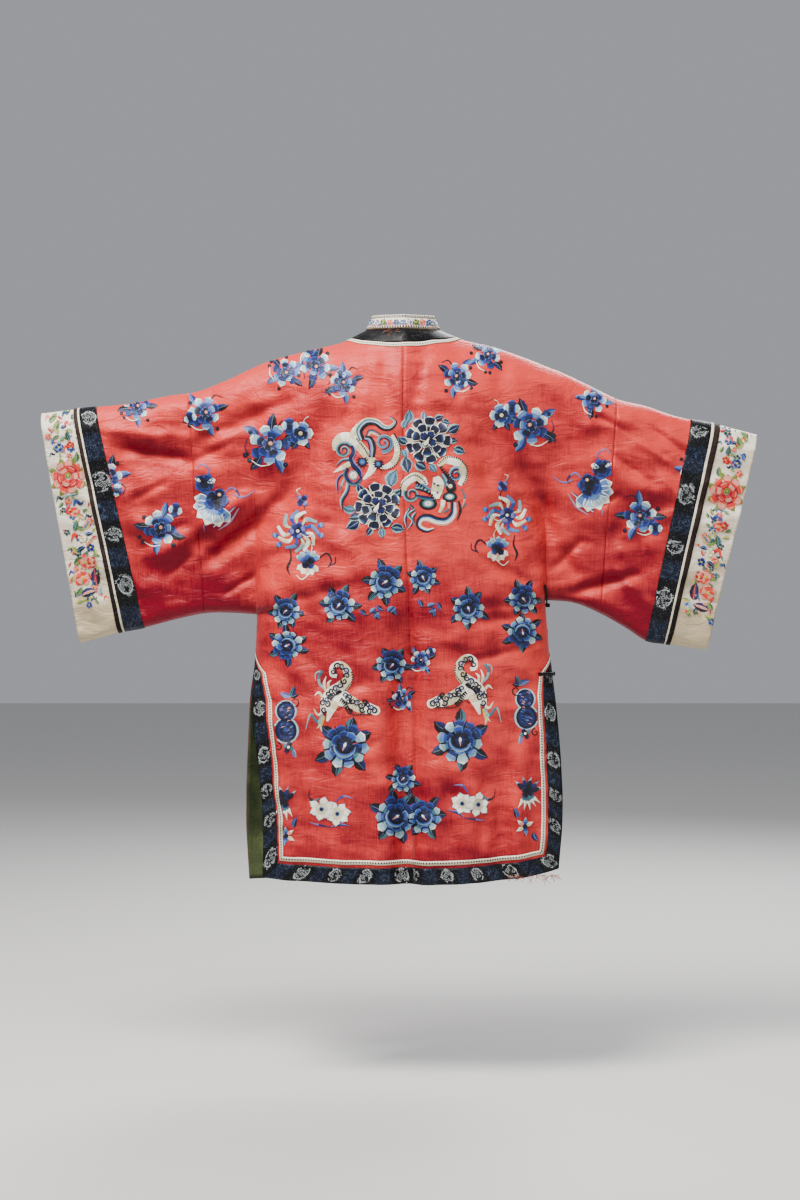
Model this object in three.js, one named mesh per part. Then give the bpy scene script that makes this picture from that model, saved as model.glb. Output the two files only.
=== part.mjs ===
// A wide-sleeved silk jacket of the side-fastening kind, hanging as it is worn, with nobody in it.
//
// The cut is the old straight one. Each half of the body is a single width of silk that runs from
// the back hem, over the shoulder, to the front hem, so there is no shoulder seam. The two widths
// meet in a seam down the middle of the back. The left width and a third one, the flap, meet in a
// seam down the middle of the front. The flap closes over the right width and fastens at the
// wearer's right armpit and side. A shorter width lengthens each sleeve. Dark strips, narrow
// ribbons, wide embroidered sleeve bands and a low standing collar are sewn on afterwards.
//
// Millimetres. +Z is up, +X is the wearer's left and -Y is the way the front faces. The origin is
// the middle of the neck opening, at the level of its sides, where a neck and shoulders hold it up.
import * as THREE from "three";

// ---- Driving dimensions -------------------------------------------------------------------------

const CLOTH = 2; // thickness of a lined panel
const TRIM = 1; // thickness of what is sewn on top
const SEAM = 0.3; // space left between two pieces
const LINING = 1;
const NECK_RADIUS = 69; // half the width of the neck opening
const NECK_BACK = -3; // height of the neckline behind, against its sides
const NECK_FRONT = -46; // and in front
const ARMPIT_CENTRE = -521; // height of the armpits' level at the centre line
const BACK_ROUND = 0.3; // share of the drop to the armpit over which the upper back swells
const CHEST_ROUND = 0.55;
const SLEEVE_ROUND = 0.12; // share of a sleeve's depth taken by the round of the arm
const SLEEVE_FLAT = 0.93; // and where the round of its lower edge begins
const SLEEVE_PINCH = 0.4; // how thick it still is there
const BORDER = 30; // width of the dark strips
const NECK_BORDER = 34; // and of the one round the neck
const BORDER_GAP = 5; // red cloth that shows between a strip and its ribbon
const RIBBON = 9; // width of the ribbons
const SLEEVE_CORD = 0.35; // share of the space between a sleeve's strip and band that its cord takes
const COLLAR_HEIGHT = 27;
const COLLAR_LEAN = 11; // how far the collar's top leans in
const COLLAR_WALL = 2.4;
const COLLAR_TRIM = 5;
const FLAP_CURVE = 1.5; // how the flap's upper edge falls to the armpit: 1 would be straight
const FLAP_OUT = 0.93; // how far round the half body the flap reaches, of 1
const FLAP_EASE = 45; // width over which the cloth beside the flap sinks under it
const UNDER_FLAP = 3.2; // how deep it sinks
const KNOT_RADIUS = 5;
const KNOT_LIFT = 5.6; // height of a knot's middle over the cloth
const STRAP_WIDTH = 6;
const STRAP_LIFT = 2.2; // height of a strap's underside over the cloth
const STRAP_THICKNESS = 2;

// The top line of the shoulders and arms, out from the neck. The first row stands above the neck
// hole, where the two sides would meet.
const LEFT_RIDGE = [
  { x: 0, z: 30 },
  { x: 69, z: 0 },
  { x: 110, z: -20 },
  { x: 176, z: -37 },
  { x: 255, z: -58 },
  { x: 335, z: -94 },
  { x: 387, z: -114 },
  { x: 440, z: -122 },
  { x: 520, z: -137 },
  { x: 600, z: -144 },
  { x: 680, z: -153 },
];
const RIGHT_RIDGE = [
  { x: 0, z: 30 },
  { x: 69, z: 0 },
  { x: 110, z: -16 },
  { x: 168, z: -30 },
  { x: 221, z: -48 },
  { x: 300, z: -79 },
  { x: 353, z: -104 },
  { x: 406, z: -129 },
  { x: 459, z: -142 },
  { x: 512, z: -160 },
  { x: 592, z: -176 },
  { x: 665, z: -195 },
];

// Each sleeve in sections from the armpit out: where its top and its lower edge are, how far the
// arm holds it from front to back (half of that) and how far it swings forward.
const LEFT_SLEEVE = [
  { at: "armpit", top: 276, low: 276, lowZ: -535, depth: 60, swing: 0 },
  { at: "under the arm", top: 340, low: 326, lowZ: -532, depth: 57, swing: 0 },
  { at: "join", top: 403, low: 374, lowZ: -533, depth: 54, swing: 0 },
  { at: "elbow", top: 490, low: 432, lowZ: -545, depth: 49, swing: 2 },
  { at: "strip", top: 578, low: 489, lowZ: -560, depth: 45, swing: 7 },
  { at: "cord", top: 612, low: 527, lowZ: -567, depth: 44, swing: 12 },
  { at: "band", top: 623, low: 539, lowZ: -570, depth: 44, swing: 14 },
  { at: "cuff", top: 686, low: 613, lowZ: -590, depth: 43, swing: 24 },
];
const RIGHT_SLEEVE = [
  { at: "armpit", top: 268, low: 268, lowZ: -508, depth: 60, swing: 0 },
  { at: "under the arm", top: 336, low: 322, lowZ: -513, depth: 57, swing: 0 },
  { at: "join", top: 401, low: 372, lowZ: -533, depth: 54, swing: 0 },
  { at: "elbow", top: 474, low: 420, lowZ: -560, depth: 49, swing: 0 },
  { at: "strip", top: 542, low: 458, lowZ: -584, depth: 45, swing: 0 },
  { at: "cord", top: 581, low: 493, lowZ: -590, depth: 44, swing: 0 },
  { at: "band", top: 597, low: 504, lowZ: -592, depth: 44, swing: 0 },
  { at: "cuff", top: 667, low: 573, lowZ: -602, depth: 43, swing: 0 },
];

// The body below the armpits, by share of the drop to the hem: how far out the side edges of the
// back and the front hang, how deep each swells, and how far round the form each wraps, in degrees.
// The second row is the top of the side slit, and is alike on the two sides.
const LEFT_SKIRT = [
  { drop: 0, back: 276, front: 276, swell: 113, chest: 104, wrap: 90 },
  { drop: 0.18, back: 279, front: 279, swell: 113, chest: 105, wrap: 90 },
  { drop: 0.3, back: 281, front: 289, swell: 114, chest: 106, wrap: 76 },
  { drop: 0.45, back: 277, front: 295, swell: 116, chest: 108, wrap: 63 },
  { drop: 0.62, back: 267, front: 299, swell: 119, chest: 111, wrap: 58 },
  { drop: 0.8, back: 260, front: 300, swell: 122, chest: 114, wrap: 56 },
  { drop: 1, back: 260, front: 295, swell: 126, chest: 118, wrap: 55 },
];
const RIGHT_SKIRT = [
  { drop: 0, back: 268, front: 268, swell: 113, chest: 104, wrap: 90 },
  { drop: 0.18, back: 275, front: 275, swell: 113, chest: 105, wrap: 90 },
  { drop: 0.3, back: 281, front: 277, swell: 114, chest: 106, wrap: 76 },
  { drop: 0.45, back: 288, front: 280, swell: 116, chest: 108, wrap: 63 },
  { drop: 0.62, back: 294, front: 282, swell: 119, chest: 111, wrap: 58 },
  { drop: 0.8, back: 296, front: 284, swell: 122, chest: 114, wrap: 56 },
  { drop: 1, back: 289, front: 282, swell: 126, chest: 118, wrap: 55 },
];

// The centre seam hangs a little to the wearer's right as it falls.
const CENTRE_DRIFT = [
  { z: 30, x: 0 },
  { z: -300, x: -2 },
  { z: -600, x: -14 },
  { z: -1040, x: -20 },
];

// The largest folds. Each runs from one place to another, seen from behind or in front, and is a
// soft ridge where lift is above 0 and a trough where it is below. Its width is half its breadth.
const BACK_FOLDS = [
  { x: 5, z: -480, toX: 4, toZ: -1120, width: 21, lift: -17 },
  { x: -36, z: -560, toX: -44, toZ: -1100, width: 20, lift: 4 },
  { x: 222, z: -690, toX: 216, toZ: -1100, width: 20, lift: 8 },
  { x: 180, z: -700, toX: 178, toZ: -1100, width: 24, lift: -7 },
  { x: -216, z: -760, toX: -216, toZ: -1100, width: 18, lift: 8 },
  { x: -182, z: -720, toX: -178, toZ: -1100, width: 22, lift: -7 },
  { x: -120, z: -700, toX: -110, toZ: -1100, width: 30, lift: 5 },
  { x: 115, z: -120, toX: 252, toZ: -380, width: 30, lift: -13 },
  { x: 170, z: -250, toX: 262, toZ: -500, width: 26, lift: -9 },
  { x: -130, z: -130, toX: -250, toZ: -400, width: 32, lift: -14 },
  { x: -180, z: -300, toX: -255, toZ: -480, width: 24, lift: -8 },
  { x: 330, z: -470, toX: 560, toZ: -300, width: 30, lift: 8 },
  { x: 340, z: -230, toX: 560, toZ: -250, width: 28, lift: -9 },
  { x: 330, z: -380, toX: 500, toZ: -470, width: 26, lift: -8 },
  { x: -330, z: -250, toX: -540, toZ: -330, width: 28, lift: 8 },
  { x: -340, z: -420, toX: -520, toZ: -330, width: 30, lift: -10 },
  { x: -340, z: -500, toX: -480, toZ: -540, width: 24, lift: 8 },
];
const FRONT_FOLDS = [
  { x: 20, z: -640, toX: 24, toZ: -1120, width: 26, lift: -10 },
  { x: 110, z: -700, toX: 120, toZ: -1100, width: 30, lift: 7 },
  { x: 205, z: -720, toX: 214, toZ: -1100, width: 26, lift: -7 },
  { x: -90, z: -690, toX: -96, toZ: -1100, width: 30, lift: 8 },
  { x: -190, z: -740, toX: -196, toZ: -1100, width: 26, lift: -8 },
  { x: 110, z: -120, toX: 250, toZ: -420, width: 32, lift: -14 },
  { x: -120, z: -130, toX: -246, toZ: -400, width: 32, lift: -13 },
  { x: 330, z: -240, toX: 550, toZ: -270, width: 28, lift: -9 },
  { x: 340, z: -440, toX: 520, toZ: -360, width: 28, lift: 8 },
  { x: -330, z: -260, toX: -540, toZ: -320, width: 28, lift: -9 },
  { x: -340, z: -450, toX: -500, toZ: -420, width: 28, lift: 8 },
];

// The fastenings on the body. A turn runs round the right half from the middle of the front, 0, to
// the side, 1, across the slit to 1.1, and on to the middle of the back. Each row is one stop of a
// strap, or the knot between two straps.
const FASTENINGS = [
  { name: "chest_strap", turn: 0.27, z: -170 },
  { name: "chest_strap", turn: 0.34, z: -170 },
  { name: "chest_strap", turn: 0.418, z: -170 },
  { name: "chest_knot", turn: 0.437, z: -170 },
  { name: "chest_loop", turn: 0.456, z: -170 },
  { name: "chest_loop", turn: 0.52, z: -170 },
  { name: "chest_loop", turn: 0.58, z: -170 },
  { name: "armpit_strap", turn: 0.8, z: -517 },
  { name: "armpit_strap", turn: 0.87, z: -517 },
  { name: "armpit_strap", turn: 0.937, z: -517 },
  { name: "armpit_knot", turn: 0.968, z: -518 },
  { name: "armpit_loop", turn: 1.102, z: -519 },
  { name: "armpit_loop", turn: 1.16, z: -505 },
  { name: "armpit_loop", turn: 1.23, z: -480 },
  { name: "slit_strap", turn: 0.84, z: -647 },
  { name: "slit_strap", turn: 0.92, z: -647 },
  { name: "slit_strap", turn: 1, z: -647 },
  { name: "slit_strap", turn: 1.0375, z: -647 },
  { name: "slit_knot", turn: 1.05, z: -647 },
  { name: "slit_loop", turn: 1.063, z: -647 },
  { name: "slit_loop", turn: 1.1, z: -647 },
  { name: "slit_loop", turn: 1.22, z: -647 },
  { name: "slit_loop", turn: 1.34, z: -647 },
];

const LEFT = {
  name: "left",
  sign: 1,
  ridge: LEFT_RIDGE,
  sleeve: LEFT_SLEEVE,
  skirt: LEFT_SKIRT,
  backHem: -1023,
  frontHem: -1043,
  mitre: -645,
};
const RIGHT = {
  name: "right",
  sign: -1,
  ridge: RIGHT_RIDGE,
  sleeve: RIGHT_SLEEVE,
  skirt: RIGHT_SKIRT,
  backHem: -1007,
  frontHem: -1028,
  mitre: -651,
};
const BACK = {
  name: "back",
  sign: 1,
  folds: BACK_FOLDS,
  round: BACK_ROUND,
  neck: NECK_BACK,
  edge: "back",
  swell: "swell",
  hem: -1031,
  cornerHem: "backHem",
};
const FRONT = {
  name: "front",
  sign: -1,
  folds: FRONT_FOLDS,
  round: CHEST_ROUND,
  neck: NECK_FRONT,
  edge: "front",
  swell: "chest",
  hem: -1040,
  cornerHem: "frontHem",
};
const SIDES = [LEFT, RIGHT];
const FACES = [BACK, FRONT];
const SLIT = LEFT_SKIRT[1].drop;
for (const side of SIDES) [side.armpit] = side.sleeve;

// ---- The form of the worn cloth -----------------------------------------------------------------

const { clamp, lerp, smoothstep, degToRad } = THREE.MathUtils;
const QUARTER_TURN = Math.PI / 2;

// A smooth curve through a table's rows: the column `want` where the column `by` has a value.
function read(rows, by, value, want) {
  const rising = rows[rows.length - 1][by] > rows[0][by];
  let i = 0;
  while (i < rows.length - 2 && (rising ? value > rows[i + 1][by] : value < rows[i + 1][by])) i++;
  const slope = (p, q) => (q[want] - p[want]) / (q[by] - p[by]);
  const [a, b] = [rows[i], rows[i + 1]];
  const here = slope(a, b);
  const before = i > 0 ? (slope(rows[i - 1], a) + here) / 2 : here;
  const after = i < rows.length - 2 ? (here + slope(b, rows[i + 2])) / 2 : here;
  const span = b[by] - a[by];
  const t = clamp((value - a[by]) / span, 0, 1);
  const [t2, t3] = [t * t, t * t * t];
  return (
    (2 * t3 - 3 * t2 + 1) * a[want] +
    (t3 - 2 * t2 + t) * span * before +
    (3 * t2 - 2 * t3) * b[want] +
    (t3 - t2) * span * after
  );
}

// How far the folds of a face lift the cloth at a place, fading where the cloth turns an edge.
function foldLift(folds, x, z, depth) {
  let lift = 0;
  for (const fold of folds) {
    const [dx, dz] = [fold.toX - fold.x, fold.toZ - fold.z];
    const length = Math.hypot(dx, dz);
    const along = ((x - fold.x) * dx + (z - fold.z) * dz) / length ** 2;
    const aside = ((x - fold.x) * dz - (z - fold.z) * dx) / length;
    const fade = smoothstep(along, -0.05, 0.3) * (1 - smoothstep(along, 0.75, 1.08));
    lift += fold.lift * fade * Math.exp(-((aside / fold.width) ** 2));
  }
  return lift * smoothstep(depth, 6, 46);
}

// How thick a sleeve is at a share of its depth from the arm down: 1 at its thickest.
function sleeveSection(t) {
  if (t < SLEEVE_ROUND) return Math.sqrt(1 - (1 - t / SLEEVE_ROUND) ** 2);
  const hang = lerp(1, SLEEVE_PINCH, smoothstep(t, SLEEVE_ROUND, SLEEVE_FLAT));
  if (t < SLEEVE_FLAT) return hang;
  return hang * Math.sqrt(Math.max(0, 1 - ((t - SLEEVE_FLAT) / (1 - SLEEVE_FLAT)) ** 2));
}

const swelling = (t, round) => Math.sqrt(1 - (1 - Math.min(t / round, 1)) ** 2);
const drift = (z) => read(CENTRE_DRIFT, "z", z, "x");

// A point of the cloth, from its distance out from the centre, its depth and its height.
function worn(side, face, x, depth, z, out, swing = 0) {
  const across = side.sign * x + drift(z) * (1 - out);
  const lifted = Math.max(depth + foldLift(face.folds, across, z, depth), 0);
  return new THREE.Vector3(across, face.sign * lifted - swing, z);
}

// The height of the shoulder's top line and of the armpits' level, out from the centre, 0 to 1.
function upperLimits(side, out) {
  const top = read(side.ridge, "x", side.armpit.top * out, "z");
  return { top, low: lerp(ARMPIT_CENTRE, side.armpit.lowZ, out ** 2) };
}

// The share of the drop to the armpits' level that a column has lost to the neck opening.
function neckShare(side, face, out) {
  const { top, low } = upperLimits(side, out);
  const across = (side.armpit.top * out) / NECK_RADIUS;
  return across < 1 ? (top - face.neck * Math.sqrt(1 - across ** 2)) / (top - low) : 0;
}

// The body above the armpits, at a share t of the drop from the shoulder's top line.
function upperAt(side, face, out, t) {
  const { top, low } = upperLimits(side, out);
  const bend = Math.cos(out * QUARTER_TURN);
  const body = side.skirt[0][face.swell] * swelling(t, face.round);
  const depth = lerp(side.armpit.depth * sleeveSection(t), body, bend);
  const flat = side.armpit.top * out;
  const x = lerp(flat, side.armpit.top * Math.sin(out * QUARTER_TURN), smoothstep(t, 0.3, 1));
  return worn(side, face, x, depth, lerp(top, low, t), out);
}

// The same, from the neckline or the top line, 0, down to the armpits' level, 1.
function upperBody(side, face, out, down) {
  return upperAt(side, face, out, lerp(neckShare(side, face, out), 1, down));
}

// The body below the armpits: down runs from their level, 0, to the hem, 1.
function lowerBody(side, face, out, down) {
  const row = (want) => read(side.skirt, "drop", down, want);
  const wrap = degToRad(row("wrap"));
  const edge = row(down <= SLIT ? "back" : face.edge);
  const hem = lerp(face.hem, side[face.cornerHem], out ** 2);
  const z = lerp(upperLimits(side, out).low, hem, down);
  const x = (edge * Math.sin(out * wrap)) / Math.sin(wrap);
  return worn(side, face, x, row(face.swell) * Math.cos(out * wrap), z, out);
}

// A sleeve: its sections are numbered from the armpit, 0; down runs from the arm to the lower edge.
function sleevePoint(side, face, section, down) {
  const rows = side.sleeve.map((row, number) => ({ number, ...row }));
  const value = (want) => read(rows, "number", section, want);
  const z = lerp(read(side.ridge, "x", value("top"), "z"), value("lowZ"), down);
  const x = lerp(value("top"), value("low"), down);
  return worn(side, face, x, value("depth") * sleeveSection(down), z, 1, value("swing"));
}

// The body at a height, above or below the armpits' level.
function bodyAt(side, face, out, z) {
  const { top, low } = upperLimits(side, out);
  if (z > low) return upperAt(side, face, out, (top - z) / (top - low));
  const hem = lerp(face.hem, side[face.cornerHem], out ** 2);
  return lowerBody(side, face, out, (low - z) / (low - hem));
}

// The flap's outline, from the neckline in front to the armpit, 0 to 1, and down its side, 1 to 2.
// It reaches the side edge below the top of the slit.
function flapOutline(turn) {
  if (turn <= 1) {
    const out = turn * FLAP_OUT;
    return bodyAt(RIGHT, FRONT, out, lerp(NECK_FRONT, RIGHT.armpit.lowZ, out ** FLAP_CURVE));
  }
  const start = lerp(NECK_FRONT, RIGHT.armpit.lowZ, FLAP_OUT ** FLAP_CURVE);
  const z = lerp(start, RIGHT.frontHem, turn - 1);
  const slit = lowerBody(RIGHT, BACK, 1, SLIT).z;
  return bodyAt(RIGHT, FRONT, lerp(FLAP_OUT, 1, 1 - smoothstep(z, slit - 80, slit)), z);
}

// ---- Sheets -------------------------------------------------------------------------------------
//
// A sheet is a list of places and of triangles between them. A place has a point, the normal of the
// cloth there, and measures: how far it is from the side edge, the hem, the neck and the flap's edge.

const NECK_DEGREES = [0, 20, 42, 66, 90];
const BODY_COLUMNS = [0.38, 0.51, 0.65, 0.79, 0.9, 1];
const UPPER_ROWS = [0, 0.015, 0.05, 0.11, 0.2, 0.33, 0.5, 0.68, 0.85, 0.96, 1];
const LOWER_ROWS = [0, SLIT, 0.25, 0.32, 0.42, 0.56, 0.7, 0.85, 1];
const SECTION = Object.fromEntries(LEFT_SLEEVE.map((row, number) => [row.at, number]));
const CORD_END = lerp(SECTION.cord, SECTION.band, SLEEVE_CORD);

function gridSheet(side, face, tag, columns, rows, at) {
  const grid = columns.map((c) =>
    rows.map((r) => ({ point: at(side, face, c, r), centre: c === 0, side: 0, hem: 0 })),
  );
  const [lastColumn, lastRow] = [columns.length - 1, rows.length - 1];
  for (let c = lastColumn; c >= 0; c--)
    for (let r = lastRow; r >= 0; r--) {
      const [here, outward, below] = [grid[c][r], grid[c + 1]?.[r], grid[c][r + 1]];
      if (outward) here.side = outward.side + here.point.distanceTo(outward.point);
      if (below) here.hem = below.hem + here.point.distanceTo(below.point);
    }
  const index = (c, r) => c * rows.length + r;
  const faces = [];
  for (let c = 0; c < lastColumn; c++)
    for (let r = 0; r < lastRow; r++) {
      const [a, b, d, e] = [index(c, r), index(c + 1, r), index(c + 1, r + 1), index(c, r + 1)];
      const turned = side.sign * face.sign < 0;
      for (const corners of turned ? [[a, d, b], [a, e, d]] : [[a, b, d], [a, d, e]])
        faces.push({ corners, tag: `${side.name} ${face.name} ${tag}` });
    }
  return { places: grid.flat(), faces };
}

function bodySheets(side, face) {
  const neck = NECK_DEGREES.map((turn) => (Math.sin(degToRad(turn)) * NECK_RADIUS) / side.armpit.top);
  const columns = [...neck, ...BODY_COLUMNS];
  const upper = gridSheet(side, face, "body", columns, UPPER_ROWS, upperBody);
  const lower = gridSheet(side, face, "skirt", columns, LOWER_ROWS, lowerBody);
  upper.places.forEach((place, i) => {
    const column = Math.floor(i / UPPER_ROWS.length);
    place.hem += lower.places[column * LOWER_ROWS.length].hem;
  });
  return [upper, lower];
}

function sleeveSheets(side, face) {
  const sheet = (tag, sections) => gridSheet(side, face, tag, sections, UPPER_ROWS, sleevePoint);
  const sheets = [
    sheet("upper sleeve", [SECTION.armpit, SECTION["under the arm"], SECTION.join]),
    sheet("sleeve", [SECTION.join, SECTION.elbow, SECTION.strip]),
    sheet("strip", [SECTION.strip, SECTION.cord]),
    sheet("cord", [SECTION.cord, CORD_END]),
    sheet("braid", [CORD_END, SECTION.band]),
    sheet("band", [SECTION.band, SECTION.cuff]),
  ];
  for (const { places } of sheets) for (const place of places) place.side = 0;
  return sheets;
}

// Joins sheets into one cloth. Points in the same place become one, and each gets a normal.
function joined(sheets) {
  const places = [];
  const faces = [];
  const seen = new Map();
  for (const sheet of sheets) {
    const moved = sheet.places.map((place) => {
      const key = place.point.toArray().map((n) => Math.round(n * 20)).join();
      if (!seen.has(key)) seen.set(key, places.push(place) - 1);
      return seen.get(key);
    });
    for (const { corners, tag } of sheet.faces) {
      const kept = corners.map((i) => moved[i]);
      if (new Set(kept).size === 3) faces.push({ corners: kept, tag });
    }
  }
  for (const place of places) place.normal = new THREE.Vector3();
  for (const { corners } of faces) {
    const [a, b, c] = corners.map((i) => places[i].point);
    const normal = b.clone().sub(a).cross(c.clone().sub(a));
    for (const i of corners) places[i].normal.add(normal);
  }
  for (const place of places) {
    if (place.centre) place.normal.setX(0); // so that two pieces part evenly at a centre seam
    place.normal.normalize();
  }
  return { places, faces };
}

// The nearest point of a curve, given as points, and the curve's direction there.
function nearestOn(curve, point) {
  let best = { distance: Infinity };
  for (let i = 0; i < curve.length - 1; i++) {
    const line = new THREE.Line3(curve[i], curve[i + 1]);
    const near = line.closestPointToPoint(point, true, new THREE.Vector3());
    const distance = near.distanceTo(point);
    if (distance < best.distance) best = { distance, near, along: line.delta(new THREE.Vector3()) };
  }
  return best;
}

const samples = (count, from, to, at) =>
  Array.from({ length: count + 1 }, (_, i) => at(lerp(from, to, i / count)));
const neckCurves = SIDES.flatMap((side) =>
  FACES.map((face) =>
    samples(24, 0, QUARTER_TURN, (turn) =>
      upperBody(side, face, (Math.sin(turn) * NECK_RADIUS) / side.armpit.top, 0),
    ),
  ),
);
const flapCurve = samples(90, 0, 2, flapOutline);

const cloth = joined(SIDES.flatMap((s) => FACES.flatMap((f) => [...bodySheets(s, f), ...sleeveSheets(s, f)])));
for (const place of cloth.places) {
  place.neck = Math.min(...neckCurves.map((curve) => nearestOn(curve, place.point).distance));
  const { distance, near, along } = nearestOn(flapCurve, place.point);
  const inward = place.normal.clone().cross(along);
  place.flap = distance * Math.sign(inward.dot(place.point.clone().sub(near)) || 1);
  // How far the right front is drawn in, where the flap covers it and beside the flap's edge. What is
  // sewn round the neck crosses the front's centre line, and is drawn in on this side of it alone.
  const { x, y } = place.point;
  place.sink = y > 0 || x > 0 ? 0 : UNDER_FLAP * (1 - smoothstep(-place.flap, 0, FLAP_EASE));
  place.neckSink = place.centre ? 0 : place.sink;
}
const MEASURES = ["side", "hem", "neck", "flap", "sink", "neckSink"];

// The order of the pieces outward from the centre line, for the gaps at their seams.
const OUTWARD = ["body", "skirt", "upper sleeve", "sleeve", "strip", "cord", "braid", "band"];
function rank({ tag }) {
  const order = 1 + OUTWARD.findIndex((name) => tag.endsWith(` ${name}`));
  return (tag.startsWith("left") ? 1 : -1) * order;
}

// The part of a sheet that passes a test of its faces. At a seam, where other faces were, its points
// draw back by half the space between two pieces, unless it is to cross the seam.
function take(sheet, test, crossing = false) {
  const kept = sheet.faces.filter(test);
  const own = new Set(kept);
  const beside = sheet.places.map(() => ({ own: [], other: [] }));
  for (const face of sheet.faces)
    for (const i of face.corners) beside[i][own.has(face) ? "own" : "other"].push(rank(face));
  const places = [];
  const moved = new Map();
  const move = (i) => {
    if (moved.has(i)) return moved.get(i);
    const place = { ...sheet.places[i], point: sheet.places[i].point.clone() };
    const seam = beside[i];
    if (seam.other.length && !crossing) {
      const outer = Math.max(...seam.own) - Math.max(...seam.other);
      const inner = Math.min(...seam.own) - Math.min(...seam.other);
      place.point.x += (Math.sign(outer + inner) * SEAM) / 2;
    }
    moved.set(i, places.push(place) - 1);
    return moved.get(i);
  };
  const faces = kept.map(({ corners, tag }) => ({ corners: corners.map(move), tag }));
  return { places, faces };
}

const tagged = (...tags) => (face) => tags.includes(face.tag);

// Splits a sheet's triangles along the line where a measure of its places has a value.
const NEAR_LINE = 1.2; // a place this near the line counts as on it, so no sliver is made
function scored(sheet, measure, value) {
  const levels = sheet.places.map((place) => {
    const level = measure(place) - value;
    return Math.abs(level) < NEAR_LINE ? 0 : level;
  });
  const places = [...sheet.places];
  const made = new Map();
  const between = (i, j) => {
    const [a, b] = i < j ? [i, j] : [j, i];
    const key = `${a}:${b}`;
    if (!made.has(key)) {
      const t = levels[a] / (levels[a] - levels[b]);
      const [one, two] = [sheet.places[a], sheet.places[b]];
      const place = { point: one.point.clone().lerp(two.point, t), normal: one.normal.clone().lerp(two.normal, t) };
      for (const name of MEASURES) place[name] = lerp(one[name], two[name], t);
      made.set(key, places.push(place) - 1);
    }
    return made.get(key);
  };
  const crosses = (i, j) => levels[i] * levels[j] < 0;
  const faces = [];
  for (const face of sheet.faces) {
    const add = (...corners) => faces.push({ corners, tag: face.tag });
    const turns = [0, 1, 2].map((n) => [0, 1, 2].map((k) => face.corners[(n + k) % 3]));
    const lone = turns.find(([a, b, c]) => crosses(a, b) && crosses(a, c));
    const edge = turns.find(([a, b, c]) => levels[a] === 0 && crosses(b, c));
    if (lone) {
      const [a, b, c] = lone;
      const [onB, onC] = [between(a, b), between(a, c)];
      add(a, onB, onC);
      add(onB, b, c);
      add(onB, c, onC);
    } else if (edge) {
      const [a, b, c] = edge;
      add(a, b, between(b, c));
      add(a, between(b, c), c);
    } else add(...face.corners);
  }
  return { places, faces };
}

const faceMean = (sheet, face, measure) =>
  face.corners.reduce((sum, i) => sum + measure(sheet.places[i]) / 3, 0);

// The strip of a sheet between two distances from its nearest edge, where `edges` measures each.
function strip(sheet, edges, near, far) {
  let lined = sheet;
  for (const edge of edges) for (const value of [near, far]) if (value > 0) lined = scored(lined, edge, value);
  return take(
    lined,
    (face) => {
      const nearest = Math.min(...edges.map((edge) => faceMean(lined, face, edge)));
      return nearest > near && nearest < far;
    },
    true,
  );
}

// ---- Walls --------------------------------------------------------------------------------------

// A wall between two distances from a sheet, closed round its edges. The distances are numbers or
// functions of a place, and the second is the outer one.
function wall(sheet, inner, outer) {
  const count = sheet.places.length;
  const shifted = (by) =>
    sheet.places.map((place) => {
      const distance = typeof by === "function" ? by(place) : by;
      return place.point.clone().addScaledVector(place.normal, distance);
    });
  const position = [...shifted(outer), ...shifted(inner)].flatMap((p) => p.toArray());
  const triangles = [];
  const edges = new Map();
  for (const { corners } of sheet.faces) {
    const [a, b, c] = corners;
    triangles.push(a, b, c, a + count, c + count, b + count);
    for (const [i, j] of [[a, b], [b, c], [c, a]]) {
      if (!edges.delete(`${j}:${i}`)) edges.set(`${i}:${j}`, [i, j]);
    }
  }
  // The rim's diagonals start from the higher point, so that the rims of two pieces match at a seam.
  const height = (i) => sheet.places[i].point.z + 0.01 * sheet.places[i].point.x;
  for (const [i, j] of edges.values()) {
    if (height(i) > height(j)) triangles.push(j, i, j + count, i, i + count, j + count);
    else triangles.push(j, i, i + count, j, i + count, j + count);
  }
  const geometry = new THREE.BufferGeometry();
  geometry.setAttribute("position", new THREE.Float32BufferAttribute(position, 3));
  geometry.setIndex(triangles);
  geometry.computeVertexNormals();
  return geometry;
}

// ---- Materials and the group --------------------------------------------------------------------

const SILK = new THREE.MeshStandardMaterial({ color: 0xd83a34, roughness: 0.45, name: "red silk" });
const LINING_SILK = new THREE.MeshStandardMaterial({ color: 0x5d6f45, roughness: 0.6, name: "green lining" });
const DARK_SATIN = new THREE.MeshStandardMaterial({ color: 0x15161c, roughness: 0.4, name: "dark satin" });
const BROCADE = new THREE.MeshStandardMaterial({ color: 0x1d2a44, roughness: 0.5, name: "blue brocade" });
const CREAM = new THREE.MeshStandardMaterial({ color: 0xeadfca, roughness: 0.7, name: "cream ribbon" });
const IVORY = new THREE.MeshStandardMaterial({ color: 0xe6dcc4, roughness: 0.5, name: "ivory silk" });
const BRAID = new THREE.MeshStandardMaterial({ color: 0x241c1a, roughness: 0.8, name: "dark braid" });
const BLACK = new THREE.MeshStandardMaterial({ color: 0x101014, roughness: 0.6, name: "black cord" });

const jacket = new THREE.Group();

function piece(name, geometry, material) {
  const mesh = new THREE.Mesh(geometry, material);
  mesh.name = name;
  jacket.add(mesh);
}

// ---- Panels -------------------------------------------------------------------------------------

const panel = (...tags) => take(cloth, tagged(...tags));
const halfTags = (side) =>
  FACES.flatMap((face) => ["body", "skirt", "upper sleeve"].map((tag) => `${side.name} ${face.name} ${tag}`));
const roundSleeve = (side, ...tags) =>
  panel(...FACES.flatMap((face) => tags.map((tag) => `${side.name} ${face.name} ${tag}`)));

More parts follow.
